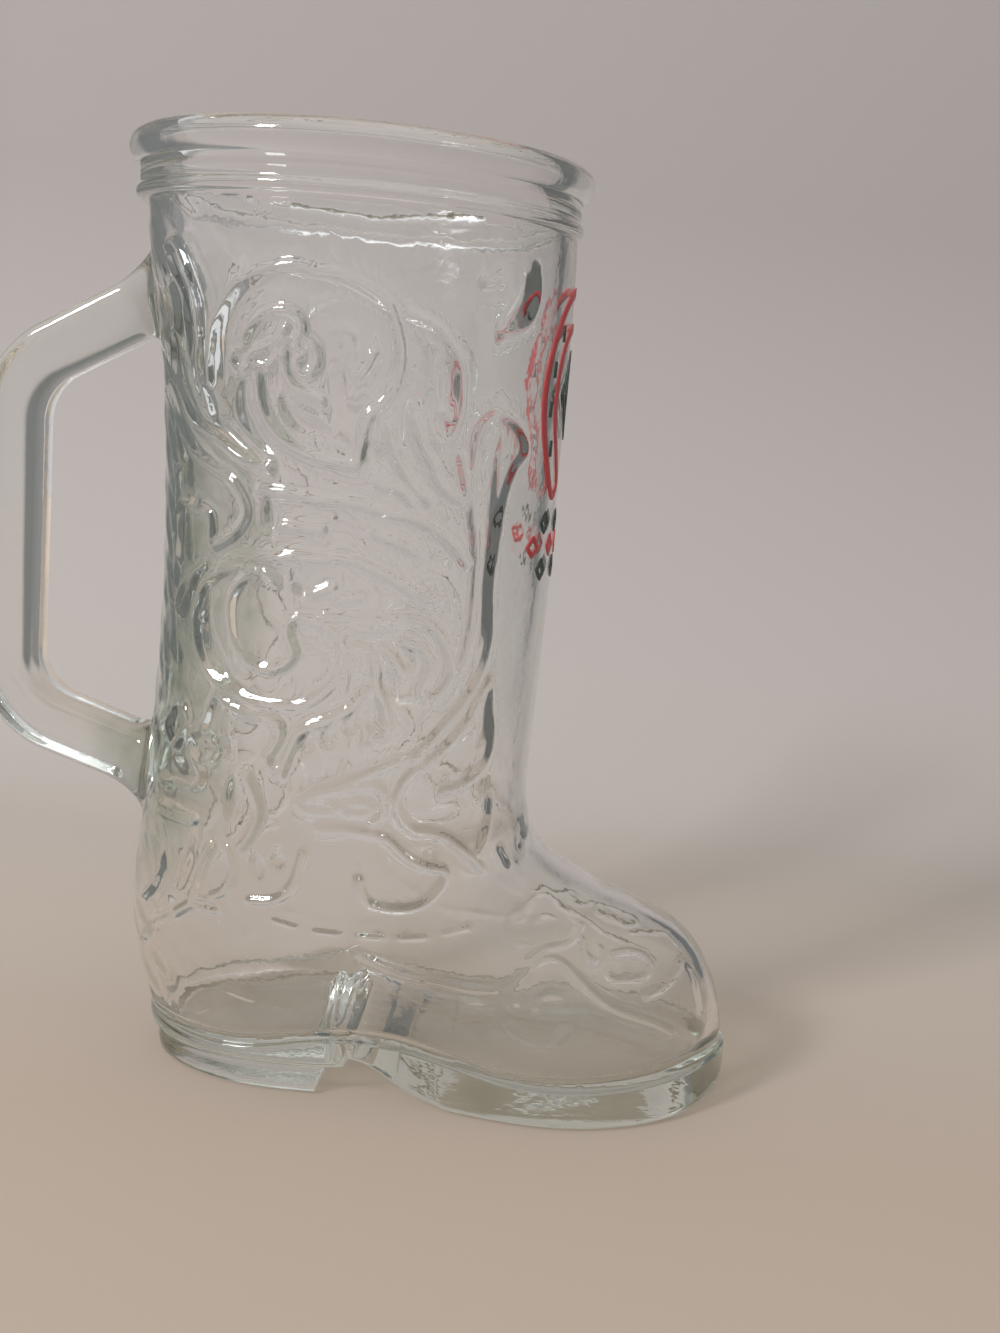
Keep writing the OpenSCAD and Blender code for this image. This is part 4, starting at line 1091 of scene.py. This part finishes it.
def strip(path, width, closed):
    """Thin flat solid along a path in the Y and Z of the print; its thickness is along X."""
    path = np.array(path, float)
    n = len(path)
    along = np.roll(path, -1, 0) - np.roll(path, 1, 0) if closed else np.gradient(path, axis=0)
    along /= np.linalg.norm(along, axis=1)[:, None]
    side = np.stack([-along[:, 1], along[:, 0]], 1) * width / 2
    corners = [(path - side, 0), (path + side, 0), (path + side, ENAMEL_T), (path - side, ENAMEL_T)]
    points = np.stack([np.column_stack([np.full(n, lift), yz]) for yz, lift in corners], 1)
    faces = []
    for i in range(n if closed else n - 1):
        for k in range(4):
            a, b = 4 * i + k, 4 * i + (k + 1) % 4
            c, d = 4 * ((i + 1) % n) + (k + 1) % 4, 4 * ((i + 1) % n) + k
            faces.append([a, d, c, b])
    if not closed:
        faces += [[0, 1, 2, 3], [4 * n - 1, 4 * n - 2, 4 * n - 3, 4 * n - 4]]
    return points.reshape(-1, 3), faces


def lozenge(y, z, r):
    """Close points along the four straight sides of a lozenge."""
    corners = [(y, z + r), (y - r, z), (y, z - r), (y + r, z)]
    out = []
    for a, b in zip(corners, corners[1:] + corners[:1]):
        a, b = np.array(a, float), np.array(b, float)
        count = max(1, int(np.linalg.norm(b - a) / SIDE_STEP))
        out += [a + (b - a) * i / count for i in range(count)]
    return out


def joined(parts):
    points, faces, start = [], [], 0
    for part_points, part_faces in parts:
        points.append(part_points)
        faces += [[v + start for v in f] for f in part_faces]
        start += len(part_points)
    return np.vstack(points), faces


shoe = smooth([(a * PRINT_HALF, PRINT_MID_H + b * PRINT_HALF_H) for a, b in SHOE_SHARES], 10, True)
red_flat = strip(shoe, RED_LINE, True)
black_parts = [strip(lozenge(0, PRINT_MID_H + GEM_MID, GEM_R * s), BLACK_LINE, True)
               for s in GEM_SHARES]
for side in (1, -1):
    for a, b in NAIL_SHARES:
        y, z = side * a * PRINT_HALF, PRINT_MID_H + b * PRINT_HALF_H
        black_parts.append(strip([(y, z - NAIL), (y, z), (y, z + NAIL)], BLACK_LINE, False))
black_flat = joined(black_parts)
print(len(red_flat[0]), "points in the red line,", len(black_flat[0]), "in the black ones")

# %% Geometry Nodes that repeat the lozenges and wrap the print
CAST_FROM = 1.0


def make_print_tree():
    tree = bpy.data.node_groups.new("print on the glass", "GeometryNodeTree")
    face = tree.interface
    face.new_socket("Geometry", in_out="INPUT", socket_type="NodeSocketGeometry")
    for name, kind in (("Lozenge", "Object"), ("Glass", "Object"), ("Columns", "Int"), ("Rows", "Int"),
                       ("First", "Vector"), ("Column Step", "Vector"), ("Row Step", "Vector"),
                       ("Lift", "Float"), ("Enamel", "Material")):
        face.new_socket(name, in_out="INPUT", socket_type="NodeSocket" + kind)
    face.new_socket("Geometry", in_out="OUTPUT", socket_type="NodeSocketGeometry")
    given = add(tree, "NodeGroupInput").outputs

    # Rows and columns of places, a lozenge on each, and the drawn lines beside them
    row = add(tree, "GeometryNodeMeshLine", mode="OFFSET", Count=given["Columns"],
              Offset=given["Column Step"])
    column = add(tree, "GeometryNodeMeshLine", mode="OFFSET", Count=given["Rows"],
                 Start_Location=given["First"], Offset=given["Row Step"])
    places = add(tree, "GeometryNodeInstanceOnPoints", Points=column, Instance=row)
    real_places = add(tree, "GeometryNodeRealizeInstances", places)
    shape = add(tree, "GeometryNodeObjectInfo", Object=given["Lozenge"]).outputs["Geometry"]
    copies = add(tree, "GeometryNodeInstanceOnPoints", Points=real_places, Instance=shape)
    everything = add(tree, "GeometryNodeJoinGeometry", copies)
    put(tree, everything.inputs["Geometry"], given["Geometry"])
    flat = add(tree, "GeometryNodeRealizeInstances", everything)

    # Every point goes back along X until it meets the glass, then out by its own thickness
    xyz = add(tree, "ShaderNodeSeparateXYZ", add(tree, "GeometryNodeInputPosition")).outputs
    start = add(tree, "ShaderNodeCombineXYZ", CAST_FROM, xyz["Y"], xyz["Z"])
    target = add(tree, "GeometryNodeObjectInfo", Object=given["Glass"]).outputs["Geometry"]
    hit = add(tree, "GeometryNodeRaycast", Target_Geometry=target, Source_Position=start,
              Ray_Direction=(-1.0, 0.0, 0.0), Ray_Length=2 * CAST_FROM).outputs
    out = add(tree, "ShaderNodeMath", xyz["X"], given["Lift"], operation="ADD")
    offset = add(tree, "ShaderNodeVectorMath", hit["Hit Normal"], operation="SCALE", Scale=out)
    on_glass = add(tree, "ShaderNodeVectorMath", hit["Hit Position"], offset, operation="ADD")
    wrapped = add(tree, "GeometryNodeSetPosition", Geometry=flat, Position=on_glass)
    painted = add(tree, "GeometryNodeSetMaterial", Geometry=wrapped, Material=given["Enamel"])
    add(tree, "NodeGroupOutput", painted)
    return tree


print_tree = make_print_tree()
print("print tree:", len(print_tree.nodes), "nodes")

# %% [markdown]
# ## Enamel
#
# Fired enamel is a thin, slightly glossy ink: the red is a tomato red, the dark one a green-black. The
# ink varies a little in thickness, so colour and gloss vary slowly over it.

# %% Enamel materials
RED_INK = (0.50, 0.035, 0.045, 1.0)
THIN_RED_INK = (0.62, 0.10, 0.10, 1.0)
DARK_INK = (0.02, 0.035, 0.028, 1.0)
THIN_DARK_INK = (0.07, 0.09, 0.08, 1.0)


def make_enamel(name, ink, thin_ink, gloss):
    material, tree, shader, coords = new_material(name)
    patches = uneven(tree, coords, size=0.0022, least=0.0, most=1.0)
    sheen = uneven(tree, coords, size=0.001, least=gloss, most=gloss + 0.2)
    grain = add(tree, "ShaderNodeBump", Strength=0.3, Distance=0.00005, Height=sheen.outputs["Height"])
    feed(tree, shader, Base_Color=blend(tree, patches, ink, thin_ink), Roughness=sheen, Normal=grain)
    return material


red_enamel = make_enamel("red_enamel", RED_INK, THIN_RED_INK, 0.3)
dark_enamel = make_enamel("dark_enamel", DARK_INK, THIN_DARK_INK, 0.35)
print("enamels ready")

# %% Wrap the print
PITCH = 0.42 * PRINT_HALF
RED_ROW, DARK_ROWS = -0.76, (-0.6, -0.92)
lozenge_piece = new_piece("lozenge", *strip(lozenge(0, 0, LOZENGE_R), BLACK_LINE, True))


def wrap_print(name, flat, columns, row_shares, enamel):
    """Print that lies on the glass: its drawn lines, and lozenges in rows at shares of its height."""
    heights = [PRINT_MID_H + share * PRINT_HALF_H for share in row_shares]
    values = {"Lozenge": lozenge_piece, "Glass": glass, "Columns": columns, "Rows": len(heights),
              "First": Vector((0, -(columns - 1) / 2 * PITCH, heights[0])) * MM,
              "Column Step": Vector((0, PITCH, 0)) * MM,
              "Row Step": Vector((0, 0, heights[-1] - heights[0])) * MM,
              "Lift": ENAMEL_LIFT * MM, "Enamel": enamel}
    piece = new_piece(name + "_flat", *flat)
    nodes = piece.modifiers.new("print", "NODES")
    nodes.node_group = print_tree
    for socket in print_tree.interface.items_tree:
        if socket.in_out == "INPUT" and socket.name in values:
            nodes[socket.identifier] = values[socket.name]
    done = finished(piece, name)
    print(name, "has", len(done.data.polygons), "faces")
    return done


red_print = wrap_print("red_print", red_flat, 5, [RED_ROW], red_enamel)
dark_print = wrap_print("dark_print", black_flat, 4, DARK_ROWS, dark_enamel)
bpy.data.objects.remove(lozenge_piece)

# %% [markdown]
# ## Room and light
#
# A sheet of pale paper runs from the table up the wall in one soft curve. It is a little warmer near
# the viewer; painted light makes it lighter on the floor behind the boot and in the cove, where shade
# falls, and painted shade makes it greyer up the wall. The light is a soft window to the left, so the
# shadow falls to the right of the toe.
#
# Clear glass shows its shape by what it bends into view. So the room gets darker behind the viewer,
# and the paper is painted dark at both ends of the wall, outside the picture, as painted shade for the
# unlit room: the glass bends those dark parts into thin lines that draw its edges. From behind, the
# paper can be looked through.

# %% Paper sweep
SWEEP_HALF = 1100.0
SWEEP_NEAR = -1000.0
SWEEP_TOP = 1000.0
COVE_Y = 120.0
COVE_R = 190.0
COVE_ROWS = 33
AIR_GAP = 0.15

cove = [(COVE_Y + COVE_R * math.sin(a), COVE_R * (1 - math.cos(a)))
        for a in np.linspace(0, math.pi / 2, COVE_ROWS)]
profile = [(SWEEP_NEAR, 0.0)] + cove + [(COVE_Y + COVE_R, SWEEP_TOP)]
sweep_points = [(x, y, z - AIR_GAP) for y, z in profile for x in (-SWEEP_HALF, SWEEP_HALF)]
sweep_faces = [[2 * i, 2 * i + 1, 2 * i + 3, 2 * i + 2] for i in range(len(profile) - 1)]
sweep = new_piece("paper_sweep", sweep_points, sweep_faces)
sweep.data.shade_smooth()
print("paper sweep with", len(sweep_faces), "faces")

# %% Paper material
PAPER_NEAR = -30.0
# Painted light and shade: the middle stops are lighter where shade from the boot and the cove falls, and
# the last stop greys the wall
PAPER_TONES_AND_PAINTED_LIGHT = [(0.0, (0.448, 0.364, 0.295, 1.0)), (0.24, (0.475, 0.405, 0.345, 1.0)),
               (0.6, (0.45, 0.408, 0.372, 1.0)), (1.0, (0.385, 0.35, 0.334, 1.0))]
# Painted shade: a dark paper colour at both ends of the wall, outside the picture, stands in for the
# unlit room
PAINTED_SHADE_PAPER = (0.15, 0.154, 0.15, 1.0)
PAINTED_SHADE_MID_X = 15.0
PAINTED_SHADE_START = 182.0
PAINTED_SHADE_END = 240.0

paper, tree, shader, coords = new_material("paper")
xyz = add(tree, "ShaderNodeSeparateXYZ", coords).outputs
distance = add(tree, "ShaderNodeMapRange", Value=xyz["Y"], From_Min=PAPER_NEAR * MM,
               From_Max=(COVE_Y + COVE_R) * MM)
colour = add(tree, "ShaderNodeValToRGB", distance)
stops = colour.color_ramp.elements
for share, _ in PAPER_TONES_AND_PAINTED_LIGHT[1:-1]:
    stops.new(share)
for stop, (share, stop_tone) in zip(stops, PAPER_TONES_AND_PAINTED_LIGHT):
    stop.position = share
    stop.color = stop_tone
# Painted shade: the paper darkens far to each side, on the wall only
from_mid = add(tree, "ShaderNodeMath", xyz["X"], PAINTED_SHADE_MID_X * MM, operation="SUBTRACT")
aside = add(tree, "ShaderNodeMath", from_mid, operation="ABSOLUTE")
beyond = smooth_step(tree, aside, PAINTED_SHADE_START * MM, PAINTED_SHADE_END * MM)
behind = smooth_step(tree, xyz["Y"], 0.0, COVE_Y * MM)
painted_end_shade = add(tree, "ShaderNodeMath", beyond, behind, operation="MULTIPLY")
feed(tree, shader, Base_Color=blend(tree, painted_end_shade, colour, PAINTED_SHADE_PAPER), Roughness=0.9, Specular_IOR_Level=0.1)
back_side = add(tree, "ShaderNodeNewGeometry").outputs["Backfacing"]
unseen = add(tree, "ShaderNodeBsdfTransparent")
one_sided = add(tree, "ShaderNodeMixShader", back_side, shader, unseen)
feed(tree, tree.nodes["Material Output"], Surface=one_sided)
sweep.data.materials.append(paper)
print("paper with", len(stops), "tones from the viewer to the wall")

# %% Lights
MID_GLASS = (10, 0, 75)
WINDOW_PLACE = (-935, -965, 900)
WINDOW_SIZE = (230, 270)
WINDOW_WATTS = 19.0
WINDOW_COLOUR = (0.95, 0.97, 1.0)
CEILING_PLACE = (-100, -100, 900)
CEILING_SIZE = (900, 900)
CEILING_WATTS = 1.2
BRIGHT_SIDE = (-0.62, -0.30, 0.72)
ROOM_DARK = (0.22, 0.215, 0.21, 1.0)
ROOM_BRIGHT = (0.78, 0.78, 0.80, 1.0)
ROOM_DARK_UNTIL = -0.7
ROOM_BRIGHT_FROM = 0.9


def softbox(name, place_mm, aim_mm, size_mm, power, colour=(1.0, 1.0, 1.0)):
    """Rectangular soft light at a place, turned towards what it lights."""
    lamp = bpy.data.lights.new(name, "AREA")
    lamp.shape = "RECTANGLE"
    lamp.size, lamp.size_y = size_mm[0] * MM, size_mm[1] * MM
    lamp.energy = power
    lamp.color = colour
    light = bpy.data.objects.new(name, lamp)
    bpy.context.scene.collection.objects.link(light)
    way = (Vector(aim_mm) - Vector(place_mm)) * MM
    light.rotation_euler = way.to_track_quat("-Z", "Y").to_euler()
    light.location = Vector(place_mm) * MM


softbox("window", WINDOW_PLACE, MID_GLASS, WINDOW_SIZE, WINDOW_WATTS, WINDOW_COLOUR)
softbox("ceiling", CEILING_PLACE, MID_GLASS, CEILING_SIZE, CEILING_WATTS)

world = bpy.data.worlds.new("room")
world.use_nodes = True
bpy.context.scene.world = world
tree = world.node_tree
direction = add(tree, "ShaderNodeTexCoord").outputs["Generated"]
facing = add(tree, "ShaderNodeVectorMath", direction, BRIGHT_SIDE, operation="DOT_PRODUCT")
depth = smooth_step(tree, facing, ROOM_DARK_UNTIL, ROOM_BRIGHT_FROM)
feed(tree, tree.nodes["Background"], Color=blend(tree, depth, ROOM_DARK, ROOM_BRIGHT))
bpy.context.scene.view_settings.view_transform = "Standard"
print("two soft lights and a room that darkens behind the viewer")

# %% [markdown]
# ## Put the pieces on the model's body
#
# Each piece rides on the one body of the model, and the measured solids that it stands for are hidden.

# %% Ride and replace
GLASS_NODES = ["lip_bead", "neck_band", "mould_ring", "leg", "foot", "sole", "heel", "handle",
               "upper_pad", "lower_pad", "leg_scrolls", "foot_scrolls"]
for piece, nodes, slot in ((glass, GLASS_NODES, "glass"), (red_print, ["red_enamel"], "red_enamel"),
                           (dark_print, ["black_enamel"], "black_enamel")):
    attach(piece, "root")
    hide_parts(*nodes)
